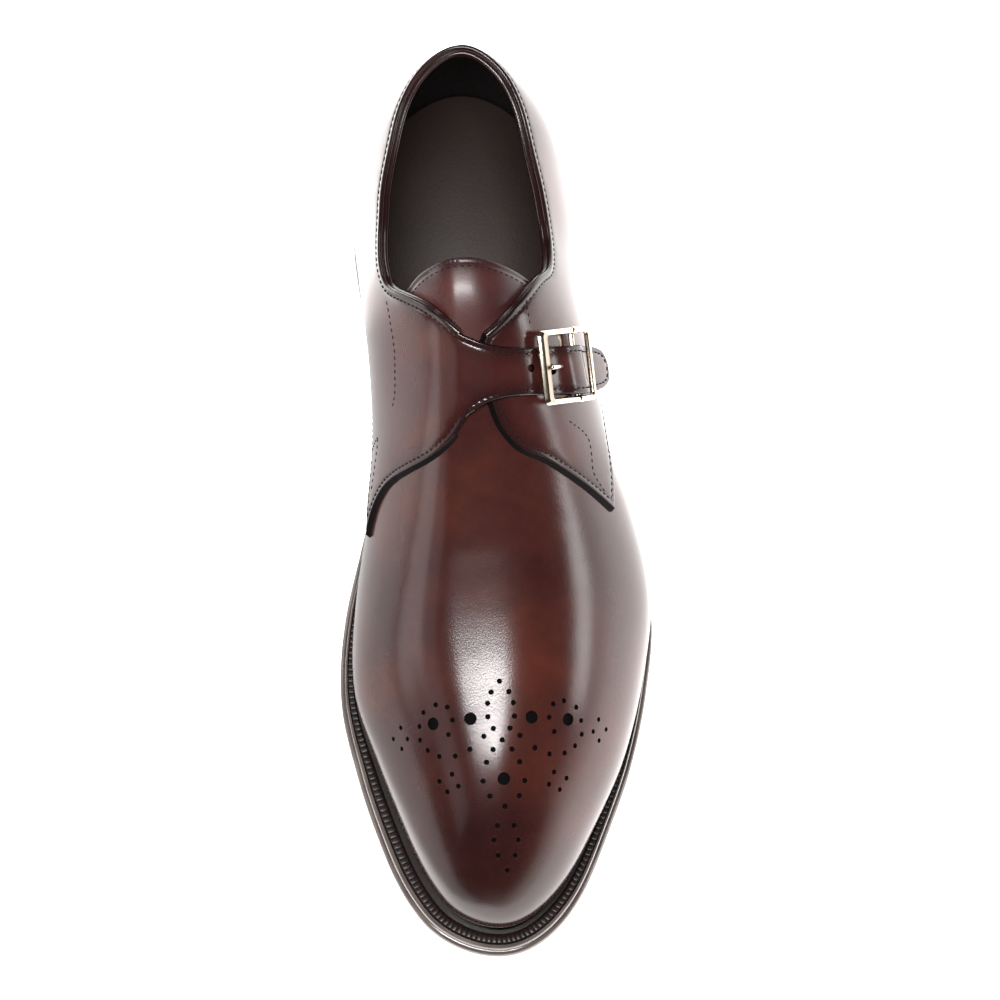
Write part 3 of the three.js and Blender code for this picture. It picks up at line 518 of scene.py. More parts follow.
# Vamp and backpart
# The lasted upper: burgundy calf pulled over the last in one skin, lined, dried to its shape,
# then stained, creamed and polished by hand until the toe is nearly black.
# column station, then the station of the crest point that the column climbs to
CREST_STATION = (
    (0.0, 0.067),
    (0.05, 0.09),
    (0.1, 0.125),
    (0.2, 0.21),
    (0.3, 0.3),
    (0.5, 0.5),
    (0.65, 0.635),
    (0.8, 0.735),
    (0.9, 0.775),
    (1.0, 0.8),
)
# station, then the crest's sideways place, mm
CREST_LEAN = (
    (0.06, -2.0),
    (0.12, -3.59),
    (0.2, -4.96),
    (0.3, -4.96),
    (0.42, -4.96),
    (0.55, -4.0),
    (0.7, -1.48),
    (0.85, 0.0),
)
# station, then the crest's height over the foot line, mm
CREST_HEIGHT = (
    (0.0, 62.98),
    (0.08, 66.0),
    (0.16, 69.3),
    (0.24, 77.4),
    (0.3, 85.14),
    (0.35, 86.43),
    (0.4, 82.99),
    (0.45, 79.55),
    (0.5, 74.82),
    (0.55, 69.66),
    (0.6, 63.9),
    (0.65, 58.48),
    (0.7, 53.92),
    (0.75, 49.8),
    (0.8, 45.6),
    (0.87, 39.6),
    (1.0, 28.8),
)
# station, roundness of the crest, of the medial and of the lateral wall, then the low swell
# of each wall and its high shoulder, medial and lateral, as shares of 7.5 mm and of 6 mm
SECTION = (
    (0.0, 2.1, 2.1, 2.1, 0.2, 0.2, 0.0, 0.0),
    (0.06, 2.1, 2.0, 1.95, 0.27, 0.27, 0.0, 0.0),
    (0.15, 2.0, 1.75, 1.6, 0.47, 0.4, 0.0, 0.0),
    (0.22, 2.1, 1.8, 1.6, 0.5, 0.6, 0.1, 0.0),
    (0.28, 2.3, 1.85, 1.65, 0.55, 0.75, 0.5, 0.2),
    (0.36, 2.45, 1.9, 1.7, 0.85, 0.8, 0.45, 0.6),
    (0.45, 2.45, 1.9, 1.7, 0.75, 0.7, 0.15, 0.6),
    (0.52, 2.35, 1.85, 1.8, 0.6, 0.85, 0.0, 0.3),
    (0.6, 2.3, 1.85, 1.85, 0.4, 0.75, 0.0, 0.05),
    (0.72, 2.3, 2.0, 2.0, 0.35, 0.5, 0.0, 0.0),
    (0.85, 2.3, 2.1, 2.1, 0.25, 0.35, 0.0, 0.0),
    (1.0, 2.25, 2.25, 2.25, 0.2, 0.2, 0.0, 0.0),
)


def foot_height(at):
    return underside(at) + 0.0083


def last(turn, rise):
    """The last's surface. Rise climbs each column from the foot line, 0, to the crest, 1."""
    at = (1 - np.cos(turn)) / 2
    medial = np.sin(turn) < 0
    peak = through(CREST_STATION, 1, at)
    crest = np.stack([through(CREST_LEAN, 1, peak) / 1000 - 0.00375, (0.5 - peak) * LENGTH], -1)
    foot = inset_point(turn, foot_inset(turn))
    outward = foot - crest
    reach_full = np.linalg.norm(outward, axis=-1)
    outward = outward / reach_full[..., None]
    angle = np.clip(rise, 0, 1) * math.pi / 2
    roundness = np.where(medial, through(SECTION, 2, at), through(SECTION, 3, at))
    swell = np.where(medial, through(SECTION, 4, at), through(SECTION, 5, at)) * 0.0075
    shoulder = np.where(medial, through(SECTION, 6, at), through(SECTION, 7, at)) * 0.006
    reach = np.where(rise >= 1, 0, np.cos(angle).clip(0) ** (2 / through(SECTION, 1, at)))
    climb = np.sin(angle) ** (2 / roundness)
    away = reach_full * reach + 6.75 * (
        swell * climb * (1 - climb) ** 2 + shoulder * climb ** 2 * (1 - climb))
    place = crest + outward * away[..., None]
    own = station_of(place[..., 1])
    base = foot_height(station_of(foot[..., 1]))
    top = foot_height(own) + through(CREST_HEIGHT, 1, own) / 1000
    return np.concatenate([place, (base + (top - base) * climb)[..., None]], -1)


def skin(around, across, height):
    """Points over the last. Around is 0 at the heel and pi at the toe, across runs from -1 at
    the medial foot line over 0 at the crest to 1 at the lateral foot line."""
    around, across = np.broadcast_arrays(np.asarray(around, float), np.asarray(across, float))
    side = np.where(across < 0, -1, 1)
    step = 0.01

    def at(turn, over):
        over = np.clip(over, -1, 1)
        own = np.where(over < 0, -1, 1)
        return last(np.where(own == side, turn * side, turn * own), 1 - np.abs(over))

    here = at(around, across)
    forward = at(around + step, across) - at(around - step, across)
    sideways = at(around, across + step) - at(around, across - step)
    normal = np.cross(forward, sideways)
    normal[..., 2] *= np.clip((1 - np.abs(across)) / 0.06, 0, 1)
    normal /= np.linalg.norm(normal, axis=-1, keepdims=True)
    return here + normal * np.asarray(height)[..., None]


def around_at(station):
    return np.arccos(1 - 2 * np.asarray(station, float))


# station, then how far across the top edge of the upper lies, medial and lateral
TOP_EDGE = (
    (0.0, 0.365, 0.365),
    (0.03, 0.382, 0.380),
    (0.06, 0.406, 0.402),
    (0.1, 0.436, 0.426),
    (0.15, 0.471, 0.453),
    (0.2, 0.509, 0.484),
    (0.24, 0.521, 0.495),
    (0.27, 0.518, 0.488),
    (0.3, 0.502, 0.448),
    (0.312, 0.482, 0.41),
    (0.334, 0.376, 0.32),
    (0.359, 0.214, 0.21),
    (0.382, 0.055, 0.1),
    (0.395, 0.0, 0.05),
    (0.402, 0.0, 0.0),
    (0.42, 0.0, 0.0),
    (1.0, 0.0, 0.0),
)


def creases(around, across):
    """The soft folds that walking has begun over the ball, a quarter of a millimetre deep."""
    at = (1 - np.cos(around)) / 2
    depth = np.zeros_like(at)
    for centre, lean, wide, amount, reach in (
        (0.555, 0.03, 0.012, -0.05, 0.5),
        (0.58, -0.02, 0.014, 0.04, 0.55),
        (0.607, 0.025, 0.013, -0.05, 0.6),
    ):
        far = (at - centre - lean * across) / wide
        depth += amount * np.exp(-far ** 2) * np.exp(-(across / reach) ** 4)
    return depth / 1000


COLUMNS, ROWS = 480, 48
column_turns = -math.pi + 2 * math.pi * (np.arange(COLUMNS) + 0.5) / COLUMNS
column_at = (1 - np.cos(column_turns)) / 2
limit = np.where(column_turns < 0, through(TOP_EDGE, 1, column_at), through(TOP_EDGE, 2, column_at))
limit = np.where(column_at > 0.402, 0, np.clip(limit + 0.012, 0, 1))
share = np.arange(ROWS + 1) / ROWS
grid_across = (1 - share[:, None] * (1 - limit[None, :])) * np.sign(column_turns)[None, :]
grid_around = np.broadcast_to(np.abs(column_turns), grid_across.shape)
tiny = np.where(column_turns < 0, -1e-9, 1e-9)
grid_across = np.where(grid_across == 0, tiny, grid_across)
outer = skin(grid_around, grid_across, creases(grid_around, grid_across))
inner = skin(grid_around, grid_across, np.full(grid_across.shape, -0.0016))

shape = bmesh.new()
made = [[[shape.verts.new(point) for point in row] for row in layer] for layer in (outer, inner)]
for i in range(COLUMNS):
    j = (i + 1) % COLUMNS
    for r in range(ROWS):
        for layer, flip in ((made[0], False), (made[1], True)):
            corners = (layer[r][i], layer[r][j], layer[r + 1][j], layer[r + 1][i])
            face = shape.faces.new(corners[::-1] if flip else corners)
            face.material_index = int(flip)
    shape.faces.new((made[1][0][i], made[1][0][j], made[0][0][j], made[0][0][i]))
    if limit[i] > 0 or limit[j] > 0:
        shape.faces.new((made[0][-1][i], made[0][-1][j], made[1][-1][j], made[1][-1][i]))
bmesh.ops.remove_doubles(shape, verts=shape.verts, dist=1e-6)
bmesh.ops.recalc_face_normals(shape, faces=shape.faces)
mesh = bpy.data.meshes.new("vamp_and_lining")
shape.to_mesh(mesh)
shape.free()
vamp = bpy.data.objects.new("vamp_and_lining", mesh)
bpy.context.collection.objects.link(vamp)


def polished_calf(name, dark, middle, warm, roughest=0.24):
    """Burgundy calf: clouds of stain, darker towards an edge, a fine grain, and a waxed gloss."""
    made, tree, shader = new_material(name)
    place = add(tree, "TexCoord").outputs["Object"]
    clouds = add(tree, "TexNoise", {"Vector": place}, Scale=24.0, Detail=5.0, Roughness=0.55)
    tint = add(tree, "ValToRGB", {"Fac": clouds.outputs["Fac"]})
    ramp = tint.color_ramp
    ramp.elements[0].color, ramp.elements[0].position = linear(dark), 0.3
    ramp.elements[1].color, ramp.elements[1].position = linear(warm), 0.75
    ramp.elements.new(0.52).color = linear(middle)
    burnish = add(tree, "Attribute", attribute_name="burnish").outputs["Fac"]
    shade = add(tree, "Mix", data_type="RGBA", blend_type="MIX")
    tree.links.new(burnish, shade.inputs[0])
    tree.links.new(tint.outputs["Color"], shade.inputs[6])
    shade.inputs[7].default_value = linear("#1b0b0c")
    tree.links.new(shade.outputs[2], shader.inputs["Base Color"])
    tree.links.new(leather_grain(tree, 0.0006, 0.00007), shader.inputs["Normal"])
    patches = add(tree, "TexNoise", {"Vector": place}, Scale=60.0, Detail=3.0)
    rough = add(tree, "MapRange", {"Value": patches.outputs["Fac"]}, To_Min=roughest - 0.07, To_Max=roughest)
    tree.links.new(rough.outputs[0], shader.inputs["Roughness"])
    shader.inputs["Coat Weight"].default_value = 0.25
    shader.inputs["Coat Roughness"].default_value = 0.2
    return made


def mark_burnish(piece, values):
    """Stores how dark the stain is at each vertex, from 0 to 1."""
    layer = piece.data.attributes.new("burnish", "FLOAT", "POINT")
    layer.data.foreach_set("value", np.asarray(values, np.float32))


vamp_calf = polished_calf("burgundy_vamp_calf", "#2c1213", "#43201c", "#5d2b1e")
lining_finish, tree, shader = new_material("black_calf_lining")
shader.inputs["Base Color"].default_value = linear("#120d0d")
tree.links.new(leather_grain(tree, 0.0012, 0.0002), shader.inputs["Normal"])
shader.inputs["Roughness"].default_value = 0.55
# the holes' walls: near black and barely glossy, partly painted shade inside the holes
punched = bpy.data.materials.new("punched_hole_painted_shade")
punched.use_nodes = True
punched.node_tree.nodes["Principled BSDF"].inputs["Base Color"].default_value = linear("#060404")
punched.node_tree.nodes["Principled BSDF"].inputs["Roughness"].default_value = 0.9
punched.node_tree.nodes["Principled BSDF"].inputs["Specular IOR Level"].default_value = 0.15
for finish in (vamp_calf, lining_finish, punched):
    vamp.data.materials.append(finish)
points = np.empty(len(vamp.data.vertices) * 3)
vamp.data.vertices.foreach_get("co", points)
points = points.reshape(-1, 3)
over_foot = points[:, 2] - foot_height(station_of(points[:, 1]))
toe_dark = np.clip((-0.092 - points[:, 1]) / 0.045, 0, 1) * 0.75
low_dark = np.clip(1 - over_foot / 0.012, 0, 1) * 0.6
mark_burnish(vamp, np.maximum(toe_dark, low_dark))
smooth(vamp, 50)
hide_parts("upper")
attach(vamp, "root")


# Toe medallion
# A traditional brogue ornament, punched through the vamp before it was lined: five large holes
# and a mirrored pattern of small ones. The punch leaves clean wells; their near black walls partly
# paint the shade inside the holes.
# distance from the toe's middle line, place along the shoe and diameter, mm; a hole off the
# middle line has a twin on its other side
MEDALLION = (
    (0.0, -101.6, 4.2),
    (10.0, -82.0, 4.2),
    (22.1, -81.7, 4.2),
    (0.0, -70.6, 1.8),
    (2.9, -74.0, 1.8),
    (4.2, -77.5, 1.8),
    (4.35, -81.8, 1.8),
    (2.7, -85.6, 1.8),
    (0.0, -89.3, 1.8),
    (5.9, -87.9, 1.8),
    (3.1, -92.3, 1.8),
    (10.6, -91.6, 1.8),
    (5.4, -96.2, 1.8),
    (6.8, -102.0, 1.8),
    (4.8, -106.8, 1.8),
    (0.0, -110.1, 1.8),
    (2.7, -115.9, 1.7),
    (4.0, -120.1, 1.7),
    (2.8, -124.7, 1.7),
    (0.0, -129.0, 1.7),
    (21.0, -76.0, 1.7),
    (17.3, -77.4, 1.7),
    (25.0, -77.5, 1.7),
    (15.8, -81.7, 1.7),
    (26.5, -81.4, 1.7),
    (17.3, -86.0, 1.7),
    (26.5, -85.6, 1.7),
    (24.1, -89.5, 1.7),
    (20.5, -92.2, 1.7),
    (15.4, -93.1, 1.7),
    (32.5, -79.9, 1.6),
    (35.0, -82.3, 1.6),
    (30.5, -84.0, 1.6),
    (32.4, -86.3, 1.6),
    (16.7, -98.5, 1.7),
    (20.8, -99.8, 1.7),
    (14.8, -102.5, 1.7),
    (18.4, -103.6, 1.7),
)
punches = []
bpy.context.view_layer.update()
for off, along, wide in MEDALLION:
    for side in ((-1, 1) if off else (1,)):
        top = Vector((side * off / 1000 - 0.00175, along / 1000, 0.15))
        found, spot, normal, _ = vamp.ray_cast(top, Vector((0, 0, -1)))
        bpy.ops.mesh.primitive_cylinder_add(
            vertices=24 if wide > 3 else 14, radius=wide / 2000, depth=0.0022, location=spot)
        punch = bpy.context.object
        punch.rotation_mode = "QUATERNION"
        punch.rotation_quaternion = normal.to_track_quat("Z", "Y")
        punch.data.materials.append(punched)
        punches.append(punch)
bpy.ops.object.select_all(action="DESELECT")
for punch in punches:
    punch.select_set(True)
bpy.context.view_layer.objects.active = punches[0]
bpy.ops.object.join()
punch = bpy.context.object
cut = vamp.modifiers.new("punch", "BOOLEAN")
cut.operation = "DIFFERENCE"
cut.object = punch
cut.solver = "EXACT"
cut.material_mode = "TRANSFER"
bpy.ops.object.select_all(action="DESELECT")
vamp.select_set(True)
bpy.context.view_layer.objects.active = vamp
bpy.ops.object.modifier_apply(modifier="punch")
bpy.data.objects.remove(punch)

# Tongue
# One piece of the same calf, lined, sewn to the vamp under the strap. Its rounded top stands
# up out of the throat, turned over and stitched.
GIRTH = 0.085
walk = np.linspace(0, math.pi, 500)
walk_line = last(walk, np.full(walk.shape, 0.5))
walk_length = np.concatenate([[0], np.cumsum(np.linalg.norm(np.diff(walk_line, axis=0), axis=1))])


def flat(around, across):
    """The upper unrolled to a flat pattern, in metres."""
    return np.stack([np.interp(around, walk, walk_length), np.asarray(across) * GIRTH], -1)


def line(rows, step=0.0009):
    """A smooth line through rows of station and across, with its points a step apart."""
    rows = np.array(rows, float)
    around, across = around_at(rows[:, 0]), rows[:, 1]
    spread = flat(around, across)
    chord = np.concatenate([[0], np.cumsum(np.linalg.norm(np.diff(spread, axis=0), axis=1))])
    if len(rows) == 2:
        fine = np.linspace(0, chord[-1], 300)
        fine_around = np.interp(fine, chord, around)
        fine_across = np.interp(fine, chord, across)
    else:
        table = np.column_stack([chord, around, across])
        fine = np.linspace(0, chord[-1], 600)
        fine_around, fine_across = through(table, 1, fine), through(table, 2, fine)
    place = skin(fine_around, fine_across, np.zeros(len(fine)))
    length = np.concatenate([[0], np.cumsum(np.linalg.norm(np.diff(place, axis=0), axis=1))])
    marks = np.linspace(0, length[-1], max(3, int(length[-1] / step) + 1))
    return np.interp(marks, length, fine_around), np.interp(marks, length, fine_across)


def moved_in(around, across, inset, closed, left):
    """A line on the upper moved sideways over the leather by an inset."""
    place = skin(around, across, np.zeros(len(around)))
    if closed:
        ahead = np.roll(place, -1, axis=0) - np.roll(place, 1, axis=0)
    else:
        ahead = np.gradient(place, axis=0)
    step = 0.004
    by_around = (skin(around + step, across, np.zeros(len(around))) - place) / step
    by_across = (skin(around, np.clip(across + step, -1, 1), np.zeros(len(around))) - place) / step
    by_across = np.where(np.abs(across)[:, None] > 0.996, -by_across * 0 + (
        place - skin(around, across * 0.99, np.zeros(len(around)))) / (across * 0.01)[:, None], by_across)
    normal = np.cross(by_around, by_across)
    inward = np.cross(normal, ahead) * (1 if left else -1)
    inward /= np.linalg.norm(inward, axis=1, keepdims=True)
    aa = (by_around * by_around).sum(1)
    ac = (by_around * by_across).sum(1)
    cc = (by_across * by_across).sum(1)
    ia = (inward * by_around).sum(1)
    ic = (inward * by_across).sum(1)
    both = aa * cc - ac * ac
    return (around + inset * (ia * cc - ic * ac) / both,
            np.clip(across + inset * (ic * aa - ia * ac) / both, -1, 1))


def inside(points, ring):
    """True for the points of the flat pattern that lie within a closed line."""
    within = np.zeros(len(points), bool)
    for (x0, y0), (x1, y1) in zip(ring, np.roll(ring, -1, axis=0)):
        if y0 != y1:
            spans = (y0 > points[:, 1]) != (y1 > points[:, 1])
            within ^= spans & (points[:, 0] < x0 + (points[:, 1] - y0) * (x1 - x0) / (y1 - y0))
    return within


def nearest(points, targets):
    """Distance from each point to the nearest target."""
    far = np.empty(len(points))
    for start in range(0, len(points), 2000):
        block = points[start:start + 2000]
        far[start:start + 2000] = np.sqrt(((block[:, None] - targets[None]) ** 2).sum(-1).min(1))
    return far


def panel(name, runs, low, high, materials, bevel_and_shadow_flares):
    """A piece of leather cut to a closed line on the upper: its edges rounded over, a shallow
    groove for the stitches, and its cut side flared out by a width in metres for each run. The
    flared side is inked black, and its width partly paints the shadow under the edge."""
    parts = [line(run) for run in runs]
    around = np.concatenate([part[0][:-1] for part in parts])
    across = np.concatenate([part[1][:-1] for part in parts])
    bevel_and_shadow_flare = np.concatenate([np.full(len(part[0]) - 1, wide) for part, wide in zip(parts, bevel_and_shadow_flares)])
    bevel_and_shadow_flare = np.where(low(around, across) < 0.0006, bevel_and_shadow_flare, 0)
    ring = flat(around, across)
    ahead = np.roll(ring, -1, axis=0)
    left = (ring[:, 0] * ahead[:, 1] - ahead[:, 0] * ring[:, 1]).sum() > 0
    edge = skin(around, across, np.zeros(len(around)))
    rows_around, rows_across = [], []
    for inset in (0.00018, 0.0004, 0.0007, 0.0011, 0.0015, 0.0019, 0.0023, 0.0029):
        a, c = moved_in(around, across, inset, True, left)
        keep = nearest(skin(a, c, np.zeros(len(a))), edge) > inset * 0.86
        if inset > 0.001:
            keep &= np.arange(len(a)) % 2 == 0
        rows_around.append(a[keep])
        rows_across.append(c[keep])
    low_corner, high_corner = ring.min(0), ring.max(0)
    step = 0.0019
    columns = np.arange(low_corner[0], high_corner[0], step)
    lines = np.arange(low_corner[1], high_corner[1], step * 0.87)
    mesh_points = np.array([
        (x + (step / 2 if k % 2 else 0), y) for k, y in enumerate(lines) for x in columns])
    mesh_points = mesh_points[inside(mesh_points, ring)]
    a = np.interp(mesh_points[:, 0], walk_length, walk)
    c = mesh_points[:, 1] / GIRTH
    keep = nearest(skin(a, c, np.zeros(len(a))), edge) > 0.0036
    all_around = np.concatenate([around, *rows_around, a[keep]])
    all_across = np.concatenate([across, *rows_across, c[keep]])
    spread = flat(all_around, all_across)
    good = np.ones(len(spread), bool)
    good[len(ring):] = inside(spread[len(ring):], ring)
    spread = spread[good]
    count = len(ring)
    made = delaunay_2d_cdt(
        [Vector(point * 1000) for point in spread],
        [(i, (i + 1) % count) for i in range(count)], [], 1, 1e-5)
    points = np.array([tuple(v) for v in made[0]]) / 1000
    a = np.interp(points[:, 0], walk_length, walk)
    c = points[:, 1] / GIRTH
    far = nearest(skin(a, c, np.zeros(len(a))), edge)
    rolled = 1 - np.sqrt(1 - (1 - np.clip(far / 0.0007, 0, 1)) ** 2)
    bottom, top = low(a, c), high(a, c)
    thick = top - bottom
    sunk = 0.00022 * np.exp(-((far - 0.0019) / 0.0004) ** 2)
    over = skin(a, c, top - rolled * thick * 0.42 - sunk)
    rim = np.array([origins[0] if origins and origins[0] < count else -1 for origins in made[3]])
    # the flared, inked side partly paints the shadow under the panel's edge
    flared_around, flared_across = moved_in(around, across, -bevel_and_shadow_flare, True, left)
    a = np.where(rim >= 0, flared_around[rim], a)
    c = np.where(rim >= 0, flared_across[rim], c)
    under = skin(a, c, np.where((rim >= 0) & (bevel_and_shadow_flare[rim] > 0), 0.00005, bottom))
    shape = bmesh.new()
    tops = [shape.verts.new(point) for point in over]
    lows = [shape.verts.new(point) for point in under]
    borders = {}
    for face in made[2]:
        turned = face if (points[face[1]] - points[face[0]])[0] * (points[face[2]] - points[face[0]])[1] \
            - (points[face[1]] - points[face[0]])[1] * (points[face[2]] - points[face[0]])[0] > 0 \
            else face[::-1]
        top_face = shape.faces.new([tops[i] for i in turned])
        top_face.material_index = int(max(far[i] for i in turned) < 0.00045)
        shape.faces.new([lows[i] for i in turned[::-1]])
        for i, j in zip(turned, list(turned[1:]) + [turned[0]]):
            if (j, i) in borders:
                borders.pop((j, i))
            else:
                borders[(i, j)] = True
    for i, j in borders:
        face = shape.faces.new((tops[j], tops[i], lows[i], lows[j]))
        face.material_index = 1
    mesh = bpy.data.meshes.new(name)
    shape.to_mesh(mesh)
    shape.free()
    piece = bpy.data.objects.new(name, mesh)
    bpy.context.collection.objects.link(piece)
    for material in materials:
        mesh.materials.append(material)
    shade = np.concatenate([np.clip(1 - far / 0.007, 0, 1) * 0.8] * 2)
    mark_burnish(piece, shade)
    smooth(piece, 55)
    return piece


def level(millimetres):
    return lambda around, across: np.full(np.shape(around), millimetres / 1000)


tongue_calf = polished_calf("burgundy_tongue_calf", "#34171a", "#4f2623", "#6a3428", 0.42)
TONGUE_TOP = (
    (0.325, -0.417),
    (0.3172, -0.33),
    (0.3115, -0.2),
    (0.3085, -0.08),
    (0.308, 0.0),
    (0.3085, 0.08),
    (0.3115, 0.2),
    (0.3172, 0.33),
    (0.325, 0.417),
)
tongue = panel(
    "tongue_calf",
    (
        TONGUE_TOP,
        ((0.325, 0.417), (0.4, 0.417), (0.48, 0.417)),
        ((0.48, 0.417), (0.48, 0.2), (0.48, 0.0), (0.48, -0.2), (0.48, -0.417)),
        ((0.48, -0.417), (0.4, -0.417), (0.325, -0.417)),
    ),
    level(-3.7), level(-1.9), (tongue_calf, edge_ink), (0, 0, 0, 0))
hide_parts("tongue")
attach(tongue, "root")

# Quarters and strap
# The two quarters are skived, turned at their edges, inked dark and stitched down over the
# vamp. The medial one runs on into the strap that crosses the instep and buckles outside.
quarter_calf = polished_calf("burgundy_quarter_calf", "#301415", "#48221f", "#633021")
LATERAL_COLLAR = (
    (0.0, 0.365),
    (0.01, 0.369),
    (0.03, 0.380),
    (0.06, 0.402),
    (0.1, 0.426),
    (0.15, 0.453),
    (0.2, 0.484),
    (0.24, 0.495),
    (0.27, 0.485),
    (0.3, 0.443),
    (0.3185, 0.365),
    (0.3476, 0.255),
    (0.3747, 0.140),
    (0.389, 0.07),
)
LATERAL_FRONT = (
    (0.389, 0.07),
    (0.4018, 0.0485),
    (0.43, 0.055),
    (0.455, 0.0711),
    (0.4782, 0.1037),
    (0.4945, 0.158),
    (0.5034, 0.265),
    (0.513, 0.36),
    (0.5221, 0.4421),
    (0.5352, 0.549),
)
LATERAL_SEAM = (
    (0.5352, 0.549),
    (0.52, 0.5627),
    (0.5, 0.5817),
    (0.48, 0.5997),
    (0.44, 0.6429),
    (0.4, 0.6935),
    (0.36, 0.7584),
    (0.33, 0.81),
    (0.3, 0.8719),
    (0.28, 0.9318),
    (0.269, 0.985),
)
# its front and seam edges flare out in black ink, partly a painted shadow under them
lateral = panel(
    "lateral_quarter",
    (
        LATERAL_COLLAR,
        LATERAL_FRONT,
        LATERAL_SEAM,
        ((0.269, 0.985), (0.2, 0.985), (0.1, 0.985), (0.03, 0.985), (0.0, 0.985)),
        ((0.0, 0.985), (0.0, 0.7), (0.0, 0.365)),
    ),
    level(0.3), level(1.7), (quarter_calf, edge_ink), (0, 0.0011, 0.0007, 0, 0))
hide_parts("quarter_lateral")
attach(lateral, "root")

# across, then the height of the strap's underside over the upper, mm
STRAP_LIFT = (
    (-1.0, 0.3),
    (-0.6, 0.3),
    (-0.2, 0.3),
    (-0.13, 0.35),
    (-0.085, 0.5),
    (-0.02, 1.2),
    (0.04, 1.9),
    (0.105, 2.0),
    (0.2, 2.0),
    (0.31, 2.0),
    (0.345, 2.5),
    (0.38, 4.2),
    (0.41, 4.85),
    (0.45, 4.8),
    (0.48, 2.9),
    (0.505, 2.1),
    (0.535, 2.1),
    (0.565, 2.8),
    (0.605, 3.8),
    (0.65, 5.2),
    (1.0, 5.2),
)


def strap_low(around, across):
    return through(STRAP_LIFT, 1, across) / 1000


def strap_high(around, across):
    return strap_low(around, across) + 0.0014 + 0.0002 * np.clip((across + 0.1) / 0.1, 0, 1)


MEDIAL_COLLAR = (
    (0.0, -0.365),
    (0.01, -0.370),
    (0.03, -0.382),
    (0.06, -0.406),
    (0.1, -0.436),
    (0.15, -0.471),
    (0.2, -0.509),
    (0.24, -0.519),
    (0.27, -0.513),
    (0.289, -0.508),
    (0.302, -0.499),
    (0.313, -0.478),
    (0.321, -0.447),
    (0.3275, -0.413),
    (0.335, -0.37),
    (0.3445, -0.31),
    (0.355, -0.24),
    (0.366, -0.165),
    (0.3765, -0.092),
    (0.386, -0.025),
    (0.394, 0.035),
    (0.398, 0.11),
    (0.3975, 0.18),
    (0.3935, 0.27),
    (0.389, 0.33),
    (0.3825, 0.41),
    (0.376, 0.485),
    (0.3705, 0.545),
    (0.3665, 0.595),
    (0.3665, 0.63),
    (0.3725, 0.65),
    (0.3795, 0.655),
)
MEDIAL_FRONT = (
    (0.3795, 0.655),
    (0.387, 0.65),
    (0.3965, 0.637),
    (0.4045, 0.61),
    (0.412, 0.563),
    (0.4225, 0.485),
    (0.43, 0.41),
    (0.4355, 0.33),
    (0.4395, 0.27),
    (0.4435, 0.18),
    (0.4475, 0.105),
    (0.455, 0.035),
    (0.469, -0.018),
    (0.4835, -0.075),
    (0.494, -0.16),
    (0.4992, -0.26),
    (0.5, -0.38),
    (0.4998, -0.49),
    (0.5035, -0.58),
    (0.514, -0.645),
    (0.527, -0.68),
    (0.538, -0.694),
)
MEDIAL_SEAM = (
    (0.538, -0.694),
    (0.52, -0.7121),
    (0.5, -0.7328),
    (0.48, -0.7544),
    (0.44, -0.798),
    (0.4, -0.84),
    (0.36, -0.877),
    (0.33, -0.902),
    (0.3, -0.936),
    (0.28, -0.9634),
    (0.27, -0.985),
)
# its front and seam edges flare out in black ink, partly a painted shadow under them
medial = panel(
    "medial_quarter_and_strap",
    (
        MEDIAL_COLLAR,
        MEDIAL_FRONT,
        MEDIAL_SEAM,
        ((0.27, -0.985), (0.2, -0.985), (0.1, -0.985), (0.03, -0.985), (0.0, -0.985)),
        ((0.0, -0.985), (0.0, -0.7), (0.0, -0.365)),
    ),
    strap_low, strap_high, (quarter_calf, edge_ink), (0, 0.0011, 0.0007, 0, 0))
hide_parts("quarter_medial")
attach(medial, "root")

# Strap holes
# Round punched holes down the strap's middle line: the one that the prong uses, one before it
# and a smaller one after it.
bpy.context.view_layer.update()
punches = []
for station, across, wide in ((0.4155, 0.226, 2.6), (0.412, 0.318, 3.4), (0.403, 0.455, 1.0)):
    spot = Vector(skin(around_at(station), across, 0.003))
    ahead = Vector(skin(around_at(station), across, 0.01)) - spot
    bpy.ops.mesh.primitive_cylinder_add(vertices=28, radius=wide / 2000, depth=0.012, location=spot)
    punch = bpy.context.object
    punch.rotation_mode = "QUATERNION"
    punch.rotation_quaternion = ahead.to_track_quat("Z", "Y")
    punch.data.materials.append(edge_ink)
    punches.append(punch)
bpy.ops.object.select_all(action="DESELECT")
for punch in punches:
    punch.select_set(True)
bpy.context.view_layer.objects.active = punches[0]
bpy.ops.object.join()
punch = bpy.context.object
cut = medial.modifiers.new("punch", "BOOLEAN")
cut.operation = "DIFFERENCE"
cut.object = punch
cut.solver = "EXACT"
cut.material_mode = "TRANSFER"
bpy.ops.object.select_all(action="DESELECT")
medial.select_set(True)
bpy.context.view_layer.objects.active = medial
bpy.ops.object.modifier_apply(modifier="punch")
bpy.data.objects.remove(punch)

# Topline
# The collar's edge: the quarters' folded rim and the lining's binding, two narrow rolls side
# by side with a crease between them, glued back to back and sewn through just below.
# beyond the edge, then height over the upper, mm
ROLLS = (
    (-1.3, 1.66),
    (-0.7, 1.86),
    (-0.1, 1.9),
    (0.4, 1.72),
    (0.72, 1.3),
    (0.76, 0.85),
    (0.55, 0.4),
    (0.2, 0.12),
    (0.5, -0.2),
    (0.85, -0.7),
    (0.88, -1.3),
    (0.5, -1.85),
    (-0.2, -2.1),
    (-1.2, -2.0),
    (-1.5, -0.2),
)
rows = []
for run, left in ((LATERAL_COLLAR, True), (MEDIAL_COLLAR[:20], False)):
    around, across = line(run, 0.0012)
    lifted = np.zeros(len(around)) if left else strap_low(around, across) - 0.0003
    side = np.stack([
        skin(*moved_in(around, across, -beyond / 1000, False, left), height / 1000 + lifted)
        for beyond, height in ROLLS])
    rows.append(side[:, :0:-1] if left else side)
rolls = np.concatenate(rows, axis=1)
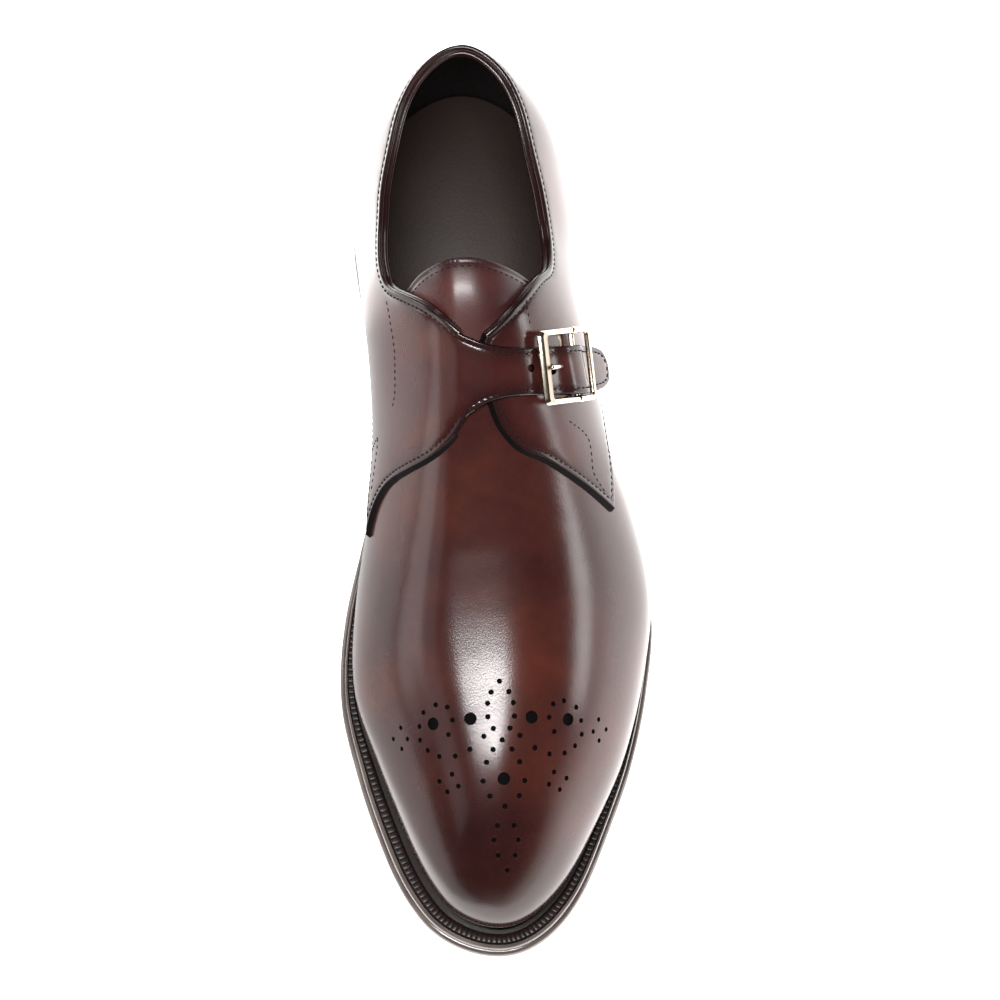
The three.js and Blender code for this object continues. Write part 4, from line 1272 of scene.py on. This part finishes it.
shape = bmesh.new()
made = [[shape.verts.new(point) for point in row] for row in rolls]
for r in range(len(made)):
    for i in range(len(made[0]) - 1):
        low_row, high_row = made[r], made[(r + 1) % len(made)]
        shape.faces.new((low_row[i], low_row[i + 1], high_row[i + 1], high_row[i]))
for end in (0, -1):
    shape.faces.new([row[end] for row in made])
bmesh.ops.recalc_face_normals(shape, faces=shape.faces)
mesh = bpy.data.meshes.new("topline_rolls")
shape.to_mesh(mesh)
shape.free()
topline = bpy.data.objects.new("topline_rolls", mesh)
bpy.context.collection.objects.link(topline)
fold_calf = polished_calf("burgundy_folded_edge_calf", "#1b0d0d", "#2a1514", "#3a1d1a")
mesh.materials.append(fold_calf)
mark_burnish(topline, np.full(len(mesh.vertices), 0.35))
smooth(topline, 60)
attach(topline, "root")

# Stitching
# Waxed thread, nearly black, about eleven stitches to the inch, in rows that follow every edge
# of the quarters, the strap, the tongue and the collar, and the seams of the hidden facings.
thread, tree, shader = new_material("waxed_linen_thread")
shader.inputs["Base Color"].default_value = linear("#160908")
shader.inputs["Roughness"].default_value = 0.8
shader.inputs["Specular IOR Level"].default_value = 0.3
PITCH = 0.0023
HALF_STITCH = 0.00078
STITCH_RADIUS = 0.00026
stitches = bmesh.new()


def sew(around, across, height):
    """Lays stitches a pitch apart along a line at a height over the upper."""
    place = skin(around, across, height)
    normal = skin(around, across, height + 0.001) - place
    length = np.concatenate([[0], np.cumsum(np.linalg.norm(np.diff(place, axis=0), axis=1))])
    for mark in np.arange(PITCH / 2, length[-1] - PITCH / 2, PITCH):
        ends = [Vector([np.interp(mark + step, length, place[:, k]) for k in range(3)])
                for step in (-HALF_STITCH, HALF_STITCH)]
        up = Vector([np.interp(mark, length, normal[:, k]) for k in range(3)]).normalized()
        along = (ends[1] - ends[0]).normalized()
        wide = along.cross(up)
        rings = []
        for end in (ends[0] * 0.8 + ends[1] * 0.2, ends[0] * 0.2 + ends[1] * 0.8):
            rings.append([stitches.verts.new(
                end + (wide * math.cos(k * math.pi / 3) + up * math.sin(k * math.pi / 3)) * STITCH_RADIUS)
                for k in range(6)])
        tips = [stitches.verts.new(end - up * 0.0001) for end in ends]
        for k in range(6):
            j = (k + 1) % 6
            stitches.faces.new((rings[0][k], rings[1][k], rings[1][j], rings[0][j]))
            stitches.faces.new((rings[0][j], tips[0], rings[0][k]))
            stitches.faces.new((rings[1][k], tips[1], rings[1][j]))


def sew_edge(runs, high, inset, left):
    """Sews along the edges of a panel, an inset in from them."""
    parts = [line(run) for run in runs]
    edge = np.concatenate([skin(around, across, np.zeros(len(around))) for around, across in parts])
    around = np.concatenate([part[0] for part in parts])
    across = np.concatenate([part[1] for part in parts])
    for part_around, part_across in parts:
        a, c = moved_in(part_around, part_across, inset, False, left)
        keep = nearest(skin(a, c, np.zeros(len(a))), edge) > inset * 0.93
        if keep.sum() > 3:
            sew(a[keep], c[keep], high(a[keep], c[keep]) - 0.0001)


sew_edge((LATERAL_COLLAR, LATERAL_FRONT, LATERAL_SEAM), level(1.6), 0.0019, True)
sew_edge((MEDIAL_COLLAR, MEDIAL_FRONT, MEDIAL_SEAM), strap_high, 0.0019, False)
sew_edge((TONGUE_TOP,), level(-1.9), 0.0032, False)
# rows that stand alone: stations and places across, on the height of what they are sewn through
for rows in (
    ((0.347, 0.259), (0.363, 0.262), (0.379, 0.266)),
    ((0.457, 0.378), (0.468, 0.467), (0.486, 0.468), (0.502, 0.463), (0.521, 0.510)),
    ((0.326, -0.494), (0.358, -0.486), (0.376, -0.479), (0.398, -0.490), (0.420, -0.506), (0.431, -0.533)),
    ((0.442, -0.668), (0.446, -0.788)),
    ((0.442, -0.668), (0.47, -0.68), (0.498, -0.691)),
):
    around, across = line(rows)
    sew(around, across, np.full(len(around), 0.00162))
mesh = bpy.data.meshes.new("edge_stitching")
stitches.to_mesh(mesh)
stitches.free()
stitching = bpy.data.objects.new("edge_stitching", mesh)
bpy.context.collection.objects.link(stitching)
mesh.materials.append(thread)
smooth(stitching, 60)
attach(stitching, "root")

# Buckle
# A die-cast frame plated with polished nickel of a pale warm tone: a broad faceted front bar,
# thin round sides and back, and a hidden centre bar on which the prong turns.
nickel, tree, shader = new_material("polished_warm_nickel_plate")
place = add(tree, "TexCoord").outputs["Object"]
wear = add(tree, "TexNoise", {"Vector": place}, Scale=500.0, Detail=3.0)
relief = add(tree, "Bump", {"Height": wear.outputs["Fac"]}, Strength=0.25, Distance=0.00006)
tree.links.new(relief.outputs[0], shader.inputs["Normal"])
shader.inputs["Base Color"].default_value = linear("#e9dcc6")
shader.inputs["Metallic"].default_value = 1.0
shader.inputs["Roughness"].default_value = 0.16

# The front bar's top facets: a rougher, darker nickel, partly a brushed finish and partly painted shade that dims
# them.
brushed_and_shaded_nickel, tree, shader = new_material("brushed_nickel_facet_painted_shade")
place = add(tree, "TexCoord").outputs["Object"]
wear = add(tree, "TexNoise", {"Vector": place}, Scale=900.0, Detail=3.0)
relief = add(tree, "Bump", {"Height": wear.outputs["Fac"]}, Strength=0.3, Distance=0.00006)
tree.links.new(relief.outputs[0], shader.inputs["Normal"])
shader.inputs["Base Color"].default_value = linear("#a89c8b")
shader.inputs["Metallic"].default_value = 1.0
shader.inputs["Roughness"].default_value = 0.34

BUCKLE_STATION, BUCKLE_ACROSS, BUCKLE_TURN = 0.404, 0.3823, -0.12
spot = skin(around_at(BUCKLE_STATION), BUCKLE_ACROSS, 0.0)
width_way = skin(around_at(0.394), BUCKLE_ACROSS, 0.0) - skin(around_at(0.414), BUCKLE_ACROSS, 0.0)
width_way /= np.linalg.norm(width_way)
chord = skin(around_at(BUCKLE_STATION), BUCKLE_ACROSS + 0.08, 0.0)
chord = chord - skin(around_at(BUCKLE_STATION), BUCKLE_ACROSS - 0.08, 0.0)
out_way = np.cross(chord, width_way)
out_way /= np.linalg.norm(out_way)
along_way = np.cross(width_way, out_way)
turned_along = along_way * math.cos(BUCKLE_TURN) + width_way * math.sin(BUCKLE_TURN)
turned_width = width_way * math.cos(BUCKLE_TURN) - along_way * math.sin(BUCKLE_TURN)


def on_buckle(along, width, out):
    """A point given in millimetres along, over and out from the buckle's centre."""
    return Vector(spot + (turned_along * along + turned_width * width + out_way * out) / 1000)


def rounded_rectangle(left, right, half, corner):
    """Points round a rectangle with rounded corners, from its front right corner."""
    points = []
    for x, y, start in (
        (right - corner, -half + corner, -90),
        (right - corner, half - corner, 0),
        (left + corner, half - corner, 90),
        (left + corner, -half + corner, 180),
    ):
        for k in range(9):
            angle = math.radians(start + k * 11.25)
            points.append((x + corner * math.cos(angle), y + corner * math.sin(angle)))
    return np.array(points)


FRAME_LOW = 3.45
frame_outer = rounded_rectangle(-14.0, 14.0, 12.25, 2.2)
frame_inner = rounded_rectangle(-9.6, 11.8, 10.25, 1.1)
# share of the way from the outer to the inner side, then the height of a thin bar's round
# top and of the front bar's facets, then of their undersides, mm
FRAME_SECTION = (
    (0.0, 1.0, 0.9, 1.0, 0.5),
    (0.06, 1.47, 1.3, 0.53, 0.2),
    (0.2, 1.8, 1.85, 0.2, 0.2),
    (0.3, 1.92, 2.12, 0.08, 0.2),
    (0.36, 1.96, 2.1, 0.04, 0.2),
    (0.5, 2.0, 1.9, 0.0, 0.2),
    (0.8, 1.8, 1.72, 0.2, 0.2),
    (0.88, 1.65, 1.8, 0.35, 0.2),
    (0.94, 1.47, 1.62, 0.53, 0.2),
    (1.0, 1.0, 1.1, 1.0, 0.5),
)
front = np.clip((-11.9 - frame_outer[:, 0]) / 1.4, 0, 1)
loops = []
for share, thin, broad, thin_low, broad_low in FRAME_SECTION:
    loops.append((share, thin + (broad - thin) * front))
for share, thin, broad, thin_low, broad_low in FRAME_SECTION[-2:0:-1]:
    loops.append((share, thin_low + (broad_low - thin_low) * front))
shape = bmesh.new()
made = []
for share, heights in loops:
    flat_points = frame_outer + (frame_inner - frame_outer) * share
    made.append([shape.verts.new(on_buckle(x, y, FRAME_LOW + z)) for (x, y), z in zip(flat_points, heights)])
for r in range(len(made)):
    for i in range(len(made[0])):
        j = (i + 1) % len(made[0])
        low_row, high_row = made[r], made[(r + 1) % len(made)]
        shape.faces.new((low_row[i], low_row[j], high_row[j], high_row[i]))


def rod(shape, points, radius):
    """A round bar with domed ends along a line of points."""
    points = np.array(points, float)
    ahead = np.gradient(points, axis=0)
    ahead /= np.linalg.norm(ahead, axis=1, keepdims=True)
    stations = [(points[0] - ahead[0] * radius * math.sin(b), radius * math.cos(b), ahead[0])
                for b in (1.45, 1.1, 0.75, 0.35)]
    stations += [(point, radius, way) for point, way in zip(points, ahead)]
    stations += [(points[-1] + ahead[-1] * radius * math.sin(b), radius * math.cos(b), ahead[-1])
                 for b in (0.35, 0.75, 1.1, 1.45)]
    rings = []
    for centre, size, way in stations:
        first = np.cross(way, out_way + 0.01 * turned_width)
        first /= np.linalg.norm(first)
        second = np.cross(way, first)
        rings.append([shape.verts.new(
            centre + size * (first * math.cos(k * math.pi / 8) + second * math.sin(k * math.pi / 8)))
            for k in range(16)])
    for ring, following in zip(rings, rings[1:]):
        for k in range(16):
            j = (k + 1) % 16
            shape.faces.new((ring[k], ring[j], following[j], following[k]))
    shape.faces.new(rings[0])
    shape.faces.new(rings[-1])


CENTRE_BAR = 5.43
rod(shape, [on_buckle(CENTRE_BAR, width, 3.3) for width in (-10.6, 0, 10.6)], 0.001)
for side in (-1, 1):
    rod(shape, [on_buckle(CENTRE_BAR + step, side * 11.2, FRAME_LOW + 1.05) for step in (-0.5, 0.5)], 0.0013)
bmesh.ops.recalc_face_normals(shape, faces=shape.faces)
mesh = bpy.data.meshes.new("buckle_frame_nickel")
shape.to_mesh(mesh)
shape.free()
buckle = bpy.data.objects.new("buckle_frame_nickel", mesh)
bpy.context.collection.objects.link(buckle)
mesh.materials.append(nickel)
mesh.materials.append(brushed_and_shaded_nickel)
# faces of the front bar that look out from the strap take the darker nickel, partly painted shade
for face in mesh.polygons:
    centre = Vector(face.center) - Vector(spot)
    facing = face.normal.dot(Vector(out_way))
    if centre.dot(Vector(turned_along)) < -0.0093 and facing > 0.9 and abs(centre.dot(Vector(turned_width))) < 0.0118:
        face.material_index = 1
smooth(buckle, 30)
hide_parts("buckle_frame")
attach(buckle, "root")

# Prong
# A round nickel pin bent to pass up through the strap's hole, its domed tip lying on the front
# bar, where it stays while the shoe is fastened.
# along the buckle, then height, mm
PRONG = (
    (4.2, 2.8),
    (1.5, 2.8),
    (-1.2, 3.1),
    (-3.2, 4.1),
    (-5.4, 5.3),
    (-8.0, 6.0),
    (-10.4, 6.2),
)
shape = bmesh.new()
rod(shape, [on_buckle(along, 0, height) for along, height in PRONG], 0.0008)
bmesh.ops.recalc_face_normals(shape, faces=shape.faces)
mesh = bpy.data.meshes.new("prong_nickel")
shape.to_mesh(mesh)
shape.free()
prong = bpy.data.objects.new("prong_nickel", mesh)
bpy.context.collection.objects.link(prong)
mesh.materials.append(nickel)
smooth(prong, 60)
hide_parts("buckle_prong")
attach(prong, "root")
